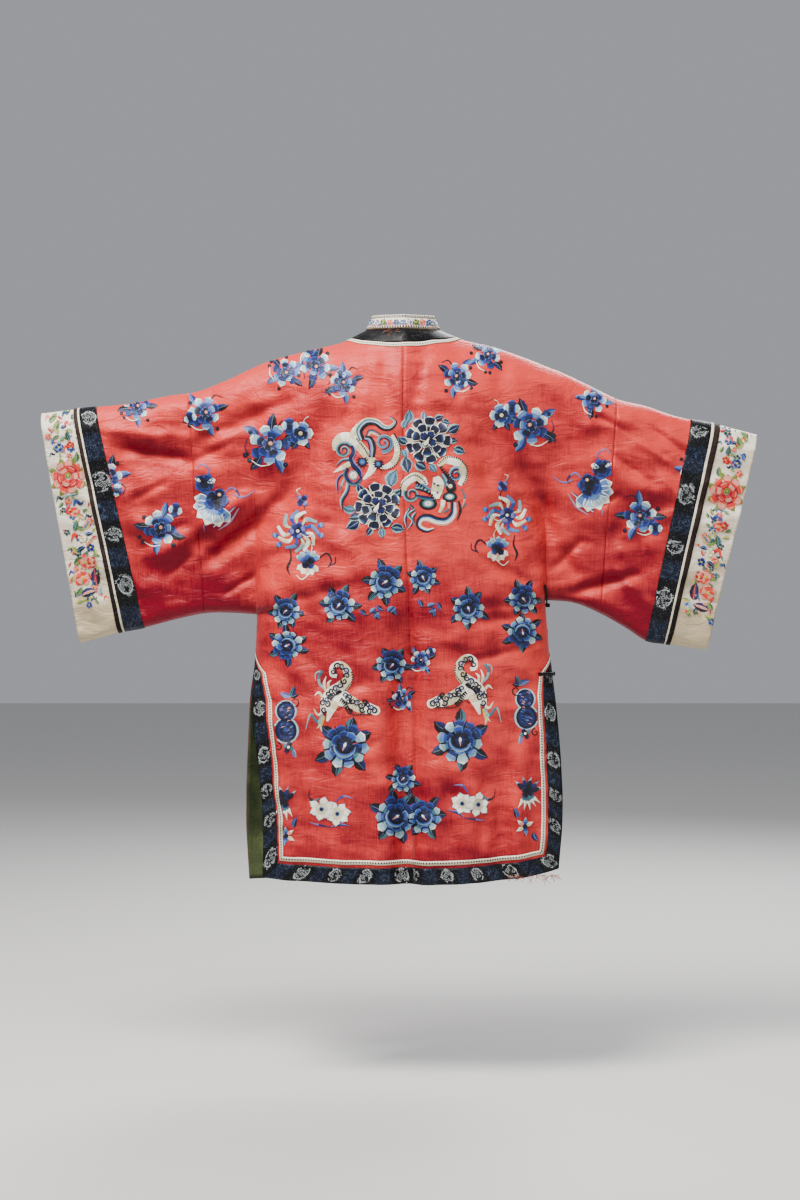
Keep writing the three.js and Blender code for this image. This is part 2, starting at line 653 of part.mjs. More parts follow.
piece("body_left", wall(panel(...halfTags(LEFT)), -CLOTH, 0), SILK);
piece(
  "body_right",
  wall(panel(...halfTags(RIGHT)), (place) => -CLOTH - place.sink, (place) => -place.sink),
  SILK,
);

const fromFlapEdge = (place) => place.flap;
const fromHem = (place) => place.hem;
const rightFront = scored(panel("right front body", "right front skirt"), fromFlapEdge, 0);
const flap = take(rightFront, (face) => faceMean(rightFront, face, fromFlapEdge) > 0, true);
piece("front_flap", wall(flap, -CLOTH, 0), SILK);

piece("front_lining", wall(panel("left front skirt"), -CLOTH - SEAM - LINING, -CLOTH - SEAM), LINING_SILK);

for (const side of SIDES) {
  const { name } = side;
  const onTop = (...tags) => wall(roundSleeve(side, ...tags), SEAM, SEAM + TRIM);
  piece(`sleeve_${name}`, wall(roundSleeve(side, "sleeve", "strip", "cord", "braid"), -CLOTH, 0), SILK);
  piece(`sleeve_strip_${name}`, onTop("strip"), BROCADE);
  piece(`sleeve_cord_${name}`, onTop("cord"), CREAM);
  piece(`sleeve_braid_${name}`, onTop("braid"), BRAID);
  piece(`sleeve_band_${name}`, wall(roundSleeve(side, "band"), -CLOTH, 0), IVORY);
}

// ---- Strips and ribbons on the body -------------------------------------------------------------

function trim(name, sheet, material, sunk = () => 0) {
  const [inner, outer] = [(place) => SEAM - sunk(place), (place) => SEAM + TRIM - sunk(place)];
  piece(name, wall(sheet, inner, outer), material);
}

const RIBBON_START = BORDER + BORDER_GAP;
const NECK_RIBBON_START = NECK_BORDER + 1;

// Round the neck: the strip stops on the right front where the flap covers it.
const neckTags = SIDES.flatMap((side) => FACES.map((face) => `${side.name} ${face.name} body`));
const FLAP_CLEAR = -2;
function roundNeck(near, far) {
  const cut = scored(take(cloth, tagged(...neckTags), true), fromFlapEdge, FLAP_CLEAR);
  const open = take(
    cut,
    (face) => face.tag !== "right front body" || faceMean(cut, face, fromFlapEdge) < FLAP_CLEAR,
    true,
  );
  return strip(open, [(place) => place.neck], near, far);
}
const neckSink = (place) => place.neckSink;
trim("neck_border", roundNeck(0.5, NECK_BORDER), DARK_SATIN, neckSink);
trim("neck_ribbon", roundNeck(NECK_RIBBON_START, NECK_RIBBON_START + RIBBON), CREAM, neckSink);

// Down the slits and along the hems. Over a slit's mitre a strip slants to the side edge.
const fromSlit = (side) => (place) => place.side + Math.max(0, place.point.z - side.mitre);
for (const [side, face] of [[LEFT, BACK], [RIGHT, BACK], [LEFT, FRONT]]) {
  const whole = panel(`${side.name} ${face.name} skirt`);
  const skirt = scored(whole, (place) => place.point.z, side.mitre);
  const edges = [fromSlit(side), fromHem];
  trim(`border_${face.name}_${side.name}`, strip(skirt, edges, 0, BORDER), BROCADE);
  trim(`ribbon_${face.name}_${side.name}`, strip(skirt, edges, RIBBON_START, RIBBON_START + RIBBON), CREAM);
}

// Round the flap: along its upper edge and down its side, and along its hem.
const flapEdges = [fromFlapEdge, fromHem];
trim("flap_border", strip(flap, flapEdges, 0, BORDER), BROCADE);
trim("flap_ribbon", strip(flap, flapEdges, RIBBON_START, RIBBON_START + RIBBON), CREAM);

// ---- Collar -------------------------------------------------------------------------------------

// The collar stands on the neckline, from the middle of the front round to the middle of the front.
const COLLAR_ENDS = 0.012; // how far from the middle of the front its ends stop, in radians
const up = new THREE.Vector3(0, 0, 1);

function collarPoint(side, face, turn, height) {
  const angle = lerp(-Math.PI + COLLAR_ENDS, Math.PI - COLLAR_ENDS, turn);
  const half = angle > 0 ? LEFT : RIGHT;
  const around = Math.abs(angle) < QUARTER_TURN ? BACK : FRONT;
  const base = upperBody(half, around, (Math.abs(Math.sin(angle)) * NECK_RADIUS) / half.armpit.top, 0);
  const inward = base.clone().setZ(0).normalize().negate();
  const lean = SEAM + COLLAR_LEAN * height * Math.sin(height * QUARTER_TURN);
  return base.addScaledVector(inward, lean).addScaledVector(up, height * COLLAR_HEIGHT + 2 * SEAM);
}

const quarter = NECK_DEGREES.slice(0, -1);
const half = [...quarter, ...quarter.map((degrees) => 180 - degrees).reverse()];
half.splice(quarter.length, 0, 90);
const collarTurns = [...half.slice(1).map((d) => -d).reverse(), ...half].map((d) => (d + 180) / 360);
const COLLAR_FOOT = 1.5; // height of the lower trim's edge
const bands = [
  { tag: "top trim", from: COLLAR_HEIGHT, to: COLLAR_HEIGHT - COLLAR_TRIM },
  { tag: "band", from: COLLAR_HEIGHT - COLLAR_TRIM, to: COLLAR_FOOT + COLLAR_TRIM },
  { tag: "base trim", from: COLLAR_FOOT + COLLAR_TRIM, to: COLLAR_FOOT },
  { tag: "foot", from: COLLAR_FOOT, to: 0 },
];
const collar = joined(
  bands.map(({ tag, from, to }) => {
    const heights = [from / COLLAR_HEIGHT, to / COLLAR_HEIGHT];
    return gridSheet(LEFT, BACK, tag, collarTurns, heights, collarPoint);
  }),
);
piece("collar", wall(collar, -COLLAR_WALL, 0), IVORY);
trim("collar_trim_top", take(collar, tagged("left back top trim"), true), CREAM);
trim("collar_trim_base", take(collar, tagged("left back base trim"), true), CREAM);

// ---- Fastenings ---------------------------------------------------------------------------------

// The right half of the body, all round, with the open slit bridged.
const SLIT_START = 1;
const SLIT_END = 1.1;
function aroundRight(turn, z) {
  if (turn <= SLIT_START) return bodyAt(RIGHT, FRONT, turn, z);
  if (turn >= SLIT_END) return bodyAt(RIGHT, BACK, SLIT_START + SLIT_END - turn, z);
  const across = (turn - SLIT_START) / (SLIT_END - SLIT_START);
  return bodyAt(RIGHT, FRONT, 1, z).lerp(bodyAt(RIGHT, BACK, 1, z), across);
}

// Where a line through a place, along its normal, meets the cloth's own faces near it.
const REACH = 25;
function settled(place) {
  const ray = new THREE.Ray(place.point.clone().addScaledVector(place.normal, REACH), place.normal.clone().negate());
  let nearest = REACH;
  for (const { corners } of cloth.faces) {
    const hit = ray.intersectTriangle(...corners.map((i) => cloth.places[i].point), true, new THREE.Vector3());
    const away = hit ? hit.distanceTo(place.point) : Infinity;
    if (away >= nearest) continue;
    nearest = away;
    place = { ...place, point: hit };
  }
  return place;
}

// A strap is a narrow wall through its stops; `at` gives a stop's point at a height over its middle.
function strap(name, stops, at) {
  const heights = [STRAP_WIDTH / 2, -STRAP_WIDTH / 2];
  const sheet = joined([gridSheet(LEFT, BACK, "strap", stops, heights, (side, face, stop, height) => at(stop, height))]);
  sheet.places = sheet.places.map(settled);
  piece(name, wall(sheet, STRAP_LIFT, STRAP_LIFT + STRAP_THICKNESS), BLACK);
}

// A knot is a ball on a cloth given by a function of a turn and a height.
function knot(name, at) {
  const [along, across] = [at(1, 0).sub(at(-1, 0)), at(0, 1).sub(at(0, -1))];
  const normal = along.cross(across).normalize();
  const place = settled({ point: at(0, 0), normal }).point.addScaledVector(normal, KNOT_LIFT);
  piece(name, new THREE.IcosahedronGeometry(KNOT_RADIUS, 1).translate(...place.toArray()), BLACK);
}

// Each stop, and one more half way to the next.
const betweenStops = (stops) =>
  stops.flatMap((stop, i) => {
    const next = stops[i + 1];
    return next ? [stop, { turn: (stop.turn + next.turn) / 2, z: (stop.z + next.z) / 2 }] : [stop];
  });

const TURN_STEP = 0.01;
for (const name of new Set(FASTENINGS.map((row) => row.name))) {
  const stops = FASTENINGS.filter((row) => row.name === name);
  if (name.endsWith("knot")) {
    const [{ turn, z }] = stops;
    knot(name, (along, height) => aroundRight(turn - along * TURN_STEP, z + height));
  } else strap(name, betweenStops(stops), ({ turn, z }, height) => aroundRight(turn, z + height));
}

// The collar's fastening bridges its two ends, half way up.
const COLLAR_STOPS = [0.0095, 0.04, 0.07, 0.1]; // how far round the collar, of 1
const onCollar = (turn, height) => collarPoint(LEFT, BACK, turn, 0.5 + height / COLLAR_HEIGHT);
strap("collar_strap", COLLAR_STOPS.map((turn) => 1 - turn).reverse(), onCollar);
strap("collar_loop", COLLAR_STOPS, onCollar);
const collarFront = onCollar(0, 0).lerp(onCollar(1, 0), 0.5);
knot("collar_knot", (along, height) => collarFront.clone().add(new THREE.Vector3(along, 0, height)));

export default jacket;
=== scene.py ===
# %% [markdown]
# # A wide-sleeved silk jacket
# The real jacket is cut from straight widths of red satin that run over the shoulders with no
# shoulder seam. It hangs as if somebody wore it, so every panel is a thin shell round an empty
# space. A garment can be draped by simulation or worked out from its cut. Here each panel is worked
# out, because the sleeves are held in a known pose and every trim has to follow the cloth exactly.

# %% Libraries and the fixed frame
import math

import bpy
import numpy as np
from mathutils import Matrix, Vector
from mathutils.bvhtree import BVHTree


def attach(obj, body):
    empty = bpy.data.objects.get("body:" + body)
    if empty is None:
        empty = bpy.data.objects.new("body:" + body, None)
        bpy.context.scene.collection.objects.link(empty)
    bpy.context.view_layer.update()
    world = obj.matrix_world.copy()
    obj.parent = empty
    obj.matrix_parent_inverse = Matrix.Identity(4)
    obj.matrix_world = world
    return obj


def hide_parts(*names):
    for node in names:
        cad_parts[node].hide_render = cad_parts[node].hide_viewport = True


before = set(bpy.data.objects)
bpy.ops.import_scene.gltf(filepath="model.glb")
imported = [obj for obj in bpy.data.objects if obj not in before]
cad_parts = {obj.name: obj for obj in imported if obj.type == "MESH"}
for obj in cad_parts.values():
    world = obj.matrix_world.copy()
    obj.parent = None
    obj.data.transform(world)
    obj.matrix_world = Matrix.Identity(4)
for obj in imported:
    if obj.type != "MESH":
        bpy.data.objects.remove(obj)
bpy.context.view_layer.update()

# %% [markdown]
# ## The camera
# The jacket is seen from behind, from a good four metres away, with the lens a little below the
# chest. A long lens keeps the sleeves from spreading towards the edges of the view.

# %% Camera
CAMERA_AWAY = 4.2
CAMERA_X, CAMERA_Z = 0.0057, -0.508
camera = bpy.data.objects.new("camera", bpy.data.cameras.new("camera"))
camera.data.lens, camera.data.sensor_width = 66.67, 36
camera.location = (CAMERA_X, CAMERA_AWAY, CAMERA_Z)
camera.rotation_euler = (math.pi / 2, 0, math.pi)
bpy.context.scene.collection.objects.link(camera)
bpy.context.scene.camera = camera

# %% [markdown]
# ## The cut
# These tables hold the jacket's own sizes in millimetres, with x counted outward from the middle and
# z up from the neck. A ridge is the top line of a shoulder and sleeve. A sleeve is given in sections
# from the armpit to the cuff, and a skirt by shares of the drop from the armpit to the hem.

# %% Sizes of the two halves
NECK_RADIUS, ARMPIT_CENTRE, SLIT = 69, -521, 0.18
LEFT = {
    "name": "left",
    "sign": 1,
    "ridge": {"x": [0, 69, 110, 176, 255, 335, 387, 440, 520, 600, 680],
              "z": [30, 0, -20, -37, -58, -94, -114, -122, -137, -144, -153]},
    "sleeve": {"top": [276, 340, 403, 490, 578, 612, 623, 686],
               "low": [276, 326, 374, 432, 489, 527, 539, 613],
               "low_z": [-535, -532, -533, -545, -560, -567, -570, -590],
               "depth": [60, 57, 54, 49, 45, 44, 44, 43],
               "swing": [0, 0, 0, 2, 7, 12, 14, 24]},
    "skirt": {"drop": [0, 0.18, 0.3, 0.45, 0.62, 0.8, 1],
              "back": [276, 279, 281, 277, 267, 260, 260],
              "front": [276, 279, 289, 295, 299, 300, 295],
              "swell": [113, 113, 114, 116, 119, 122, 126],
              "chest": [104, 105, 106, 108, 111, 114, 118],
              "wrap": [90, 90, 76, 63, 58, 56, 55]},
    "hem": {"back": -1023, "front": -1043},
    "mitre": -645,
}
RIGHT = {
    "name": "right",
    "sign": -1,
    "ridge": {"x": [0, 69, 110, 168, 221, 300, 353, 406, 459, 512, 592, 665],
              "z": [30, 0, -16, -30, -48, -79, -104, -129, -142, -160, -176, -195]},
    "sleeve": {"top": [268, 336, 401, 474, 542, 581, 597, 667],
               "low": [268, 322, 372, 420, 458, 493, 504, 573],
               "low_z": [-508, -513, -533, -560, -584, -590, -592, -602],
               "depth": [60, 57, 54, 49, 45, 44, 44, 43],
               "swing": [0, 0, 0, 0, 0, 0, 0, 0]},
    "skirt": {"drop": [0, 0.18, 0.3, 0.45, 0.62, 0.8, 1],
              "back": [268, 275, 281, 288, 294, 296, 289],
              "front": [268, 275, 277, 280, 282, 284, 282],
              "swell": [113, 113, 114, 116, 119, 122, 126],
              "chest": [104, 105, 106, 108, 111, 114, 118],
              "wrap": [90, 90, 76, 63, 58, 56, 55]},
    "hem": {"back": -1007, "front": -1028},
    "mitre": -651,
}
SECTION = {"armpit": 0, "join": 2, "strip": 4, "cord": 5, "band": 6, "cuff": 7}
CORD_END = 5.35
DRIFT = {"z": [30, -300, -600, -1040], "x": [0, -2, -14, -20]}
print("armpits", LEFT["sleeve"]["top"][0], RIGHT["sleeve"]["top"][0])

# %% [markdown]
# ## Folds and creases
# A fold is where the whole panel swings in or out, and a crease is a narrow one left by folding the
# jacket away for years. Both are written as lines across the panel with a width and a height, so
# each can be set where cloth of this cut really pulls: from the neck and shoulders down to
# the armpits, along the arms, and straight down the skirt.

# %% Folds: x, z, to x, to z, width, lift
FOLDS = {
    "back": [
        (-3, -470, -5, -1120, 28, -30), (-36, -560, -44, -1100, 20, 4), (222, -690, 216, -1100, 20, 8),
        (180, -700, 178, -1100, 24, -7), (-216, -760, -216, -1100, 18, 8), (-182, -720, -178, -1100, 22, -7),
        (-120, -700, -110, -1100, 30, 5), (115, -120, 252, -380, 30, -13), (170, -250, 262, -500, 26, -9),
        (-130, -130, -250, -400, 32, -14), (-180, -300, -255, -480, 24, -8), (330, -470, 560, -300, 30, 8),
        (340, -230, 560, -250, 28, -9), (330, -380, 500, -470, 26, -8), (-330, -250, -540, -330, 28, 8),
        (-340, -420, -520, -330, 30, -10), (-340, -500, -480, -540, 24, 8),
    ],
    "front": [
        (20, -640, 24, -1120, 26, -10), (110, -700, 120, -1100, 30, 7), (205, -720, 214, -1100, 26, -7),
        (-90, -690, -96, -1100, 30, 8), (-190, -740, -196, -1100, 26, -8), (110, -120, 250, -420, 32, -14),
        (-120, -130, -246, -400, 32, -13), (330, -240, 550, -270, 28, -9), (340, -440, 520, -360, 28, 8),
        (-330, -260, -540, -320, 28, -9), (-340, -450, -500, -420, 28, 8),
    ],
}
CREASES = {
    "back": [
        (183, -126, 403, -219, 13, -5), (389, -247, 552, -219, 11, -5), (429, -206, 571, -187, 11, 3),
        (266, -298, 484, -444, 17, 6), (230, -342, 389, -451, 14, -6), (195, -291, 367, -432, 12, -4),
        (272, -457, 342, -500, 6, -3.5), (403, -361, 497, -413, 8, -2.5), (431, -281, 520, -328, 7, -2.5),
        (478, -508, 535, -432, 8, 2.5), (300, -205, 420, -262, 7, -2), (452, -470, 392, -420, 6, -2),
        (-213, -241, -290, -400, 18, -7), (-290, -400, -330, -470, 12, -4), (-355, -338, -407, -308, 7, -3.5),
        (-437, -166, -556, -255, 8, -3), (-369, -225, -482, -300, 8, -3), (-406, -391, -520, -338, 11, 4),
        (-302, -499, -455, -457, 11, -7), (-276, -457, -340, -391, 7, -3), (-384, -434, -482, -540, 12, 4),
        (-460, -250, -530, -330, 6, 2), (-420, -200, -510, -260, 6, 2), (-330, -150, -430, -200, 7, -2),
        (138, -206, 112, -395, 16, -5), (-127, -187, -221, -508, 18, -5), (270, -432, 138, -404, 11, -3.5),
        (250, -520, 60, -470, 9, -2.5), (-268, -489, -146, -432, 9, -3.5), (-270, -527, -127, -555, 11, -3.5),
        (-98, -631, -262, -585, 8, -3), (34, -763, 96, -791, 6, -2), (60, -660, 150, -690, 8, -2),
        (190, -690, 170, -960, 12, 3.5), (-60, -760, -72, -1000, 12, 3), (-150, -820, -140, -1010, 9, -2.5),
        (70, -800, 62, -1010, 12, -3), (110, -880, 106, -1015, 8, 2.5), (40, -60, 26, -150, 9, -2),
        (-40, -60, -20, -150, 9, -2), (70, -75, 110, -190, 12, -3), (-76, -70, -120, -200, 12, -3),
        (0, -200, 60, -330, 14, -2), (-30, -240, -90, -390, 14, -2),
    ],
    "front": [
        (190, -140, 400, -230, 13, -5), (390, -260, 550, -230, 11, -4), (266, -310, 480, -450, 17, 6),
        (235, -350, 390, -455, 14, -5), (275, -460, 345, -500, 7, -3), (420, -350, 510, -400, 8, -2.5),
        (-210, -240, -300, -410, 18, -6), (-350, -330, -410, -300, 7, -3), (-430, -180, -550, -260, 8, -3),
        (-400, -390, -510, -340, 11, 4), (-300, -495, -450, -460, 11, -6), (-370, -440, -470, -530, 10, 3),
        (150, -220, 120, -400, 16, -4), (-140, -200, -220, -480, 18, -5), (260, -430, 150, -400, 11, -3),
        (-255, -480, -150, -440, 9, -3), (250, -560, 120, -600, 9, -3), (-240, -560, -100, -610, 9, -3),
        (60, -720, 56, -1000, 14, 3), (160, -740, 164, -1010, 12, -3), (-40, -740, -36, -1010, 14, -3),
        (-150, -760, -146, -1000, 11, 3), (-60, -150, -120, -330, 14, -3), (60, -150, 90, -340, 14, -3),
    ],
}
FACES = {
    "back": {"sign": 1, "round": 0.3, "neck": -3, "swell": "swell", "hem": -1031},
    "front": {"sign": -1, "round": 0.55, "neck": -46, "swell": "chest", "hem": -1040},
}
for name in FACES:
    FACES[name]["name"] = name
print("creases", {name: len(rows) for name, rows in CREASES.items()})

# %% [markdown]
# ## Curves through the tables
# Between two rows of a table the cloth must bend smoothly. A cubic that leaves each row at the mean
# slope of its neighbours does that, and NumPy works it out for thousands of points at once.

# %% Helpers for curves and easing
def through(known, values, at):
    known, values = np.array(known, float), np.array(values, float)
    if known[-1] < known[0]:
        known, values = known[::-1], values[::-1]
    slope = np.diff(values) / np.diff(known)
    lean = np.concatenate([slope[:1], (slope[:-1] + slope[1:]) / 2, slope[-1:]])
    i = np.clip(np.searchsorted(known, at, side="left") - 1, 0, len(known) - 2)
    span = known[i + 1] - known[i]
    t = np.clip((at - known[i]) / span, 0, 1)
    rise = 3 * t**2 - 2 * t**3
    ends = (1 - rise) * values[i] + rise * values[i + 1]
    return ends + span * ((t**3 - 2 * t**2 + t) * lean[i] + (t**3 - t**2) * lean[i + 1])


def ease(value, low, high):
    t = np.clip((value - low) / (high - low), 0, 1)
    return t * t * (3 - 2 * t)


def mix(a, b, share):
    return a + (b - a) * share


def lines_lift(rows, x, z):
    lift = np.zeros(np.broadcast(x, z).shape)
    for from_x, from_z, to_x, to_z, width, height in rows:
        dx, dz = to_x - from_x, to_z - from_z
        length = math.hypot(dx, dz)
        along = ((x - from_x) * dx + (z - from_z) * dz) / length**2
        aside = ((x - from_x) * dz - (z - from_z) * dx) / length
        fade = ease(along, -0.05, 0.3) * (1 - ease(along, 0.75, 1.08))
        lift += height * fade * np.exp(-((aside / width) ** 2))
    return lift


# %% [markdown]
# ## Small crumples
# Old satin also has many small crumples that follow no plan. A few dozen waves of different length
# and direction, stronger in some places than in others, look like them. Their directions come from
# numbers made once with a fixed seed, so the jacket is the same each time.

# %% Crumples
rng = np.random.default_rng(19)
WAVES = [(rng.uniform(0, math.pi), rng.uniform(18, 85), rng.uniform(0, 7)) for _ in range(26)]


def crumple(x, z, shift):
    patchy = 0.5 + 0.5 * np.sin(x / 61 + 2.1 * np.sin(z / 83 + shift)) * np.sin(z / 57 + shift)
    lift = 0
    for turn, length, start in WAVES:
        along = x * math.cos(turn) + z * math.sin(turn)
        bent = along + 6 * np.sin((x * math.sin(turn) - z * math.cos(turn)) / (1.7 * length) + start)
        wave = np.sin(2 * math.pi * bent / length + start + shift)
        sharp = 0.9 - 2 * np.abs(np.sin(math.pi * bent / length + start))
        lift = lift + 0.0062 * length * (sharp if length < 52 else wave)
    return lift * (0.35 + 0.65 * patchy)


# %% [markdown]
# ## The worn cloth
# Each function turns a place on the cut into a point in space. Above the armpits the panel swells
# from the shoulder's line to the chest or back. A sleeve is held open by the arm near its top and
# nearly closes towards its lower edge. Below the armpits front and back wrap round the body, and
# part at the side slits.

# %% Functions of the worn cloth
def drift(z):
    return through(DRIFT["z"], DRIFT["x"], z)


def sleeve_section(t):
    top = np.sqrt(np.clip(1 - (1 - t / 0.12) ** 2, 0, 1))
    hang = mix(1, 0.4, ease(t, 0.12, 0.93))
    end = hang * np.sqrt(np.clip(1 - (np.clip(t - 0.93, 0, 1) / 0.07) ** 2, 0, 1))
    return np.where(t < 0.12, top, end)


def worn(side, face, x, depth, z, out, swing=0.0):
    across = side["sign"] * x + drift(z) * (1 - out)
    lift = lines_lift(FOLDS[face["name"]], across, z) * ease(depth, 6, 46)
    small = lines_lift(CREASES[face["name"]], across, z) + crumple(across, z, face["sign"] * 1.3)
    lifted = np.maximum(depth + lift + 1.75 * small * ease(depth, 2, 20), 0)
    return np.stack([across, face["sign"] * lifted - swing, z], -1)


def upper_limits(side, out):
    top = through(side["ridge"]["x"], side["ridge"]["z"], side["sleeve"]["top"][0] * out)
    return top, mix(ARMPIT_CENTRE, side["sleeve"]["low_z"][0], out**2)


def neck_share(side, face, out):
    top, low = upper_limits(side, out)
    across = np.minimum(side["sleeve"]["top"][0] * out / NECK_RADIUS, 1)
    share = (top - face["neck"] * np.sqrt(1 - across**2)) / (top - low)
    return np.where(across < 1, share, 0)


def upper_at(side, face, out, t):
    top, low = upper_limits(side, out)
    swelling = np.sqrt(np.clip(1 - (1 - np.minimum(t / face["round"], 1)) ** 2, 0, 1))
    body = side["skirt"][face["swell"]][0] * swelling
    depth = mix(side["sleeve"]["depth"][0] * sleeve_section(t), body, np.cos(out * math.pi / 2))
    flat = side["sleeve"]["top"][0] * out
    x = mix(flat, side["sleeve"]["top"][0] * np.sin(out * math.pi / 2), ease(t, 0.3, 1))
    return worn(side, face, x, depth, mix(top, low, t), out)


def upper_body(side, face, out, down):
    return upper_at(side, face, out, mix(neck_share(side, face, out), 1, down))


def lower_body(side, face, out, down):
    skirt = side["skirt"]
    wrap = np.radians(through(skirt["drop"], skirt["wrap"], down))
    back = through(skirt["drop"], skirt["back"], down)
    edge = np.where(down <= SLIT, back, through(skirt["drop"], skirt[face["name"]], down))
    hem = mix(face["hem"], side["hem"][face["name"]], out**2)
    z = mix(upper_limits(side, out)[1], hem, down)
    x = edge * np.sin(out * wrap) / np.sin(wrap)
    depth = through(skirt["drop"], skirt[face["swell"]], down) * np.cos(out * wrap)
    return worn(side, face, x, depth, z, out)


def sleeve_at(side, face, section, down):
    rows = range(len(side["sleeve"]["top"]))
    value = {key: through(rows, column, section) for key, column in side["sleeve"].items()}
    top_z = through(side["ridge"]["x"], side["ridge"]["z"], value["top"])
    x = mix(value["top"], value["low"], down)
    depth = value["depth"] * sleeve_section(down)
    return worn(side, face, x, depth, mix(top_z, value["low_z"], down), 1.0, value["swing"])


def body_at(side, face, out, z):
    top, low = upper_limits(side, out)
    hem = mix(face["hem"], side["hem"][face["name"]], out**2)
    above = upper_at(side, face, out, np.clip((top - z) / (top - low), 0, 1))
    below = lower_body(side, face, out, np.maximum((low - z) / (low - hem), 0))
    return np.where((z > low)[..., None], above, below)


# %% [markdown]
# ## From a grid to a mesh
# A panel is made of grids of points. Where two grids meet, as along the shoulder's line or under a
# sleeve, their points are the same and become one vertex. The flat place of each point on the cut is
# kept as a UV, so that threads run along the cloth however it bends. A Solidify modifier then gives
# the shell its inner face, which takes the next material: the lining.

# %% Helpers for meshes
def grid(at, columns, rows):
    c, r = np.meshgrid(np.array(columns, float), np.array(rows, float), indexing="ij")
    return at(c, r)


def run(points, axis):
    steps = np.linalg.norm(np.diff(points, axis=axis), axis=-1)
    start = np.zeros_like(np.take(steps, [0], axis))
    return np.concatenate([start, np.cumsum(steps, axis)], axis)


def mesh_of(name, grids, materials):
    """Each of grids is (points in mm, uv in mm, turned, material number)."""
    points = np.concatenate([g[0].reshape(-1, 3) for g in grids])
    _, first, same = np.unique(np.round(points / 0.05), axis=0, return_index=True, return_inverse=True)
    same = same.reshape(-1)
    faces, uvs, numbers, start = [], [], [], 0
    for sheet, uv, turned, number in grids:
        columns, rows = sheet.shape[:2]
        index = start + np.arange(columns * rows).reshape(columns, rows)
        corners = [index[:-1, :-1], index[1:, :-1], index[1:, 1:], index[:-1, 1:]]
        quads = np.stack([c.ravel() for c in (corners[::-1] if turned else corners)], -1)
        flat = uv.reshape(-1, 2)
        for quad in quads:
            kept, seen = [], set()
            for i in quad:
                if same[i] not in seen:
                    seen.add(same[i])
                    kept.append(i)
            if len(kept) > 2:
                faces.append([int(same[i]) for i in kept])
                uvs.extend(flat[i - start] for i in kept)
                numbers.append(number)
        start += columns * rows
    mesh = bpy.data.meshes.new(name)
    mesh.from_pydata((points[first] / 1000).tolist(), [], faces)
    layer = mesh.uv_layers.new(name="cut")
    layer.data.foreach_set("uv", (np.array(uvs) / 1000).ravel().astype(np.float32))
    mesh.polygons.foreach_set("material_index", np.array(numbers, np.int32))
    mesh.polygons.foreach_set("use_smooth", np.ones(len(faces), bool))
    for material in materials:
        mesh.materials.append(material)
    piece = bpy.data.objects.new("silk_" + name, mesh)
    bpy.context.scene.collection.objects.link(piece)
    return piece


def finished(piece):
    """The piece with its modifiers applied."""
    bpy.context.view_layer.update()
    done = bpy.data.meshes.new_from_object(piece.evaluated_get(bpy.context.evaluated_depsgraph_get()))
    piece.modifiers.clear()
    piece.data = done
    return piece


def shell(piece, near, far, inner=0):
    """Gives a sheet thickness, from near to far of its own surface, in mm."""
    solid = piece.modifiers.new("thickness", "SOLIDIFY")
    solid.thickness = (far - near) / 1000
    solid.offset = (far + near) / (far - near)
    solid.material_offset = inner
    return finished(piece)


MADE = {}


def sewn(piece, slot, *nodes):
    """Puts a finished piece in the jacket in place of its plain solids, and keeps it by their name."""
    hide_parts(*nodes)
    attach(piece, "root")
    MADE[nodes[0]] = piece
    print(nodes[0], len(piece.data.polygons), "faces")
    return piece


# %% [markdown]
# ## Shader helpers
# Materials are built from nodes. Two small helpers keep that readable: one adds a node and joins or
# sets its inputs, and one starts a node group with named sockets. A group gives out only colours,
# masks and heights. The shader itself stays in each material.

# %% Helpers for nodes
def feed(tree, node, inputs):
    """Links each input that is a socket, and sets each that is a plain value."""
    for key, value in inputs.items():
        if isinstance(value, bpy.types.NodeSocket):
            tree.links.new(value, node.inputs[key])
        else:
            node.inputs[key].default_value = value
    return node


def put(tree, kind, inputs=None, **settings):
    node = tree.nodes.new(kind)
    for key, value in settings.items():
        setattr(node, key, value)
    return feed(tree, node, inputs or {})


def math_of(tree, operation, a, b=0.0, c=0.0, clamp=False):
    inputs = {0: a, 1: b, 2: c}
    return put(tree, "ShaderNodeMath", inputs, operation=operation, use_clamp=clamp).outputs[0]


def within(tree, value, middle, reach):
    """One where the value is within reach of its middle, and nothing elsewhere."""
    away = math_of(tree, "ABSOLUTE", math_of(tree, "SUBTRACT", value, middle))
    return math_of(tree, "LESS_THAN", away, reach)


def noise_of(tree, place, scale, detail, **more):
    inputs = {"Vector": place, "Scale": scale, "Detail": detail, **more}
    return put(tree, "ShaderNodeTexNoise", inputs).outputs[0]


def blend_colours(tree, share, a, b, how="MIX"):
    node = put(tree, "ShaderNodeMix", {0: share, 6: a, 7: b}, data_type="RGBA", blend_type=how)
    return node.outputs[2]


def group_with(name, takes, gives):
    """takes and gives are rows of (name, kind, default)."""
    group = bpy.data.node_groups.new(name, "ShaderNodeTree")
    for label, kind, default in takes:
        socket = group.interface.new_socket(label, in_out="INPUT", socket_type=f"NodeSocket{kind}")
        socket.default_value = default
    for label, kind in gives:
        group.interface.new_socket(label, in_out="OUTPUT", socket_type=f"NodeSocket{kind}")
    return group, group.nodes.new("NodeGroupInput"), group.nodes.new("NodeGroupOutput")


def placed(tree, group, values=None):
    node = tree.nodes.new("ShaderNodeGroup")
    node.node_tree = group
    return feed(tree, node, values or {})


def material_named(name, **sockets):
    """A new material and its tree and shader, with plain values on the shader's sockets."""
    material = bpy.data.materials.new(name)
    material.use_nodes = True
    tree = material.node_tree
    shader = tree.nodes["Principled BSDF"]
    for key, value in sockets.items():
        shader.inputs[key.replace("_", " ")].default_value = value
    return material, tree, shader


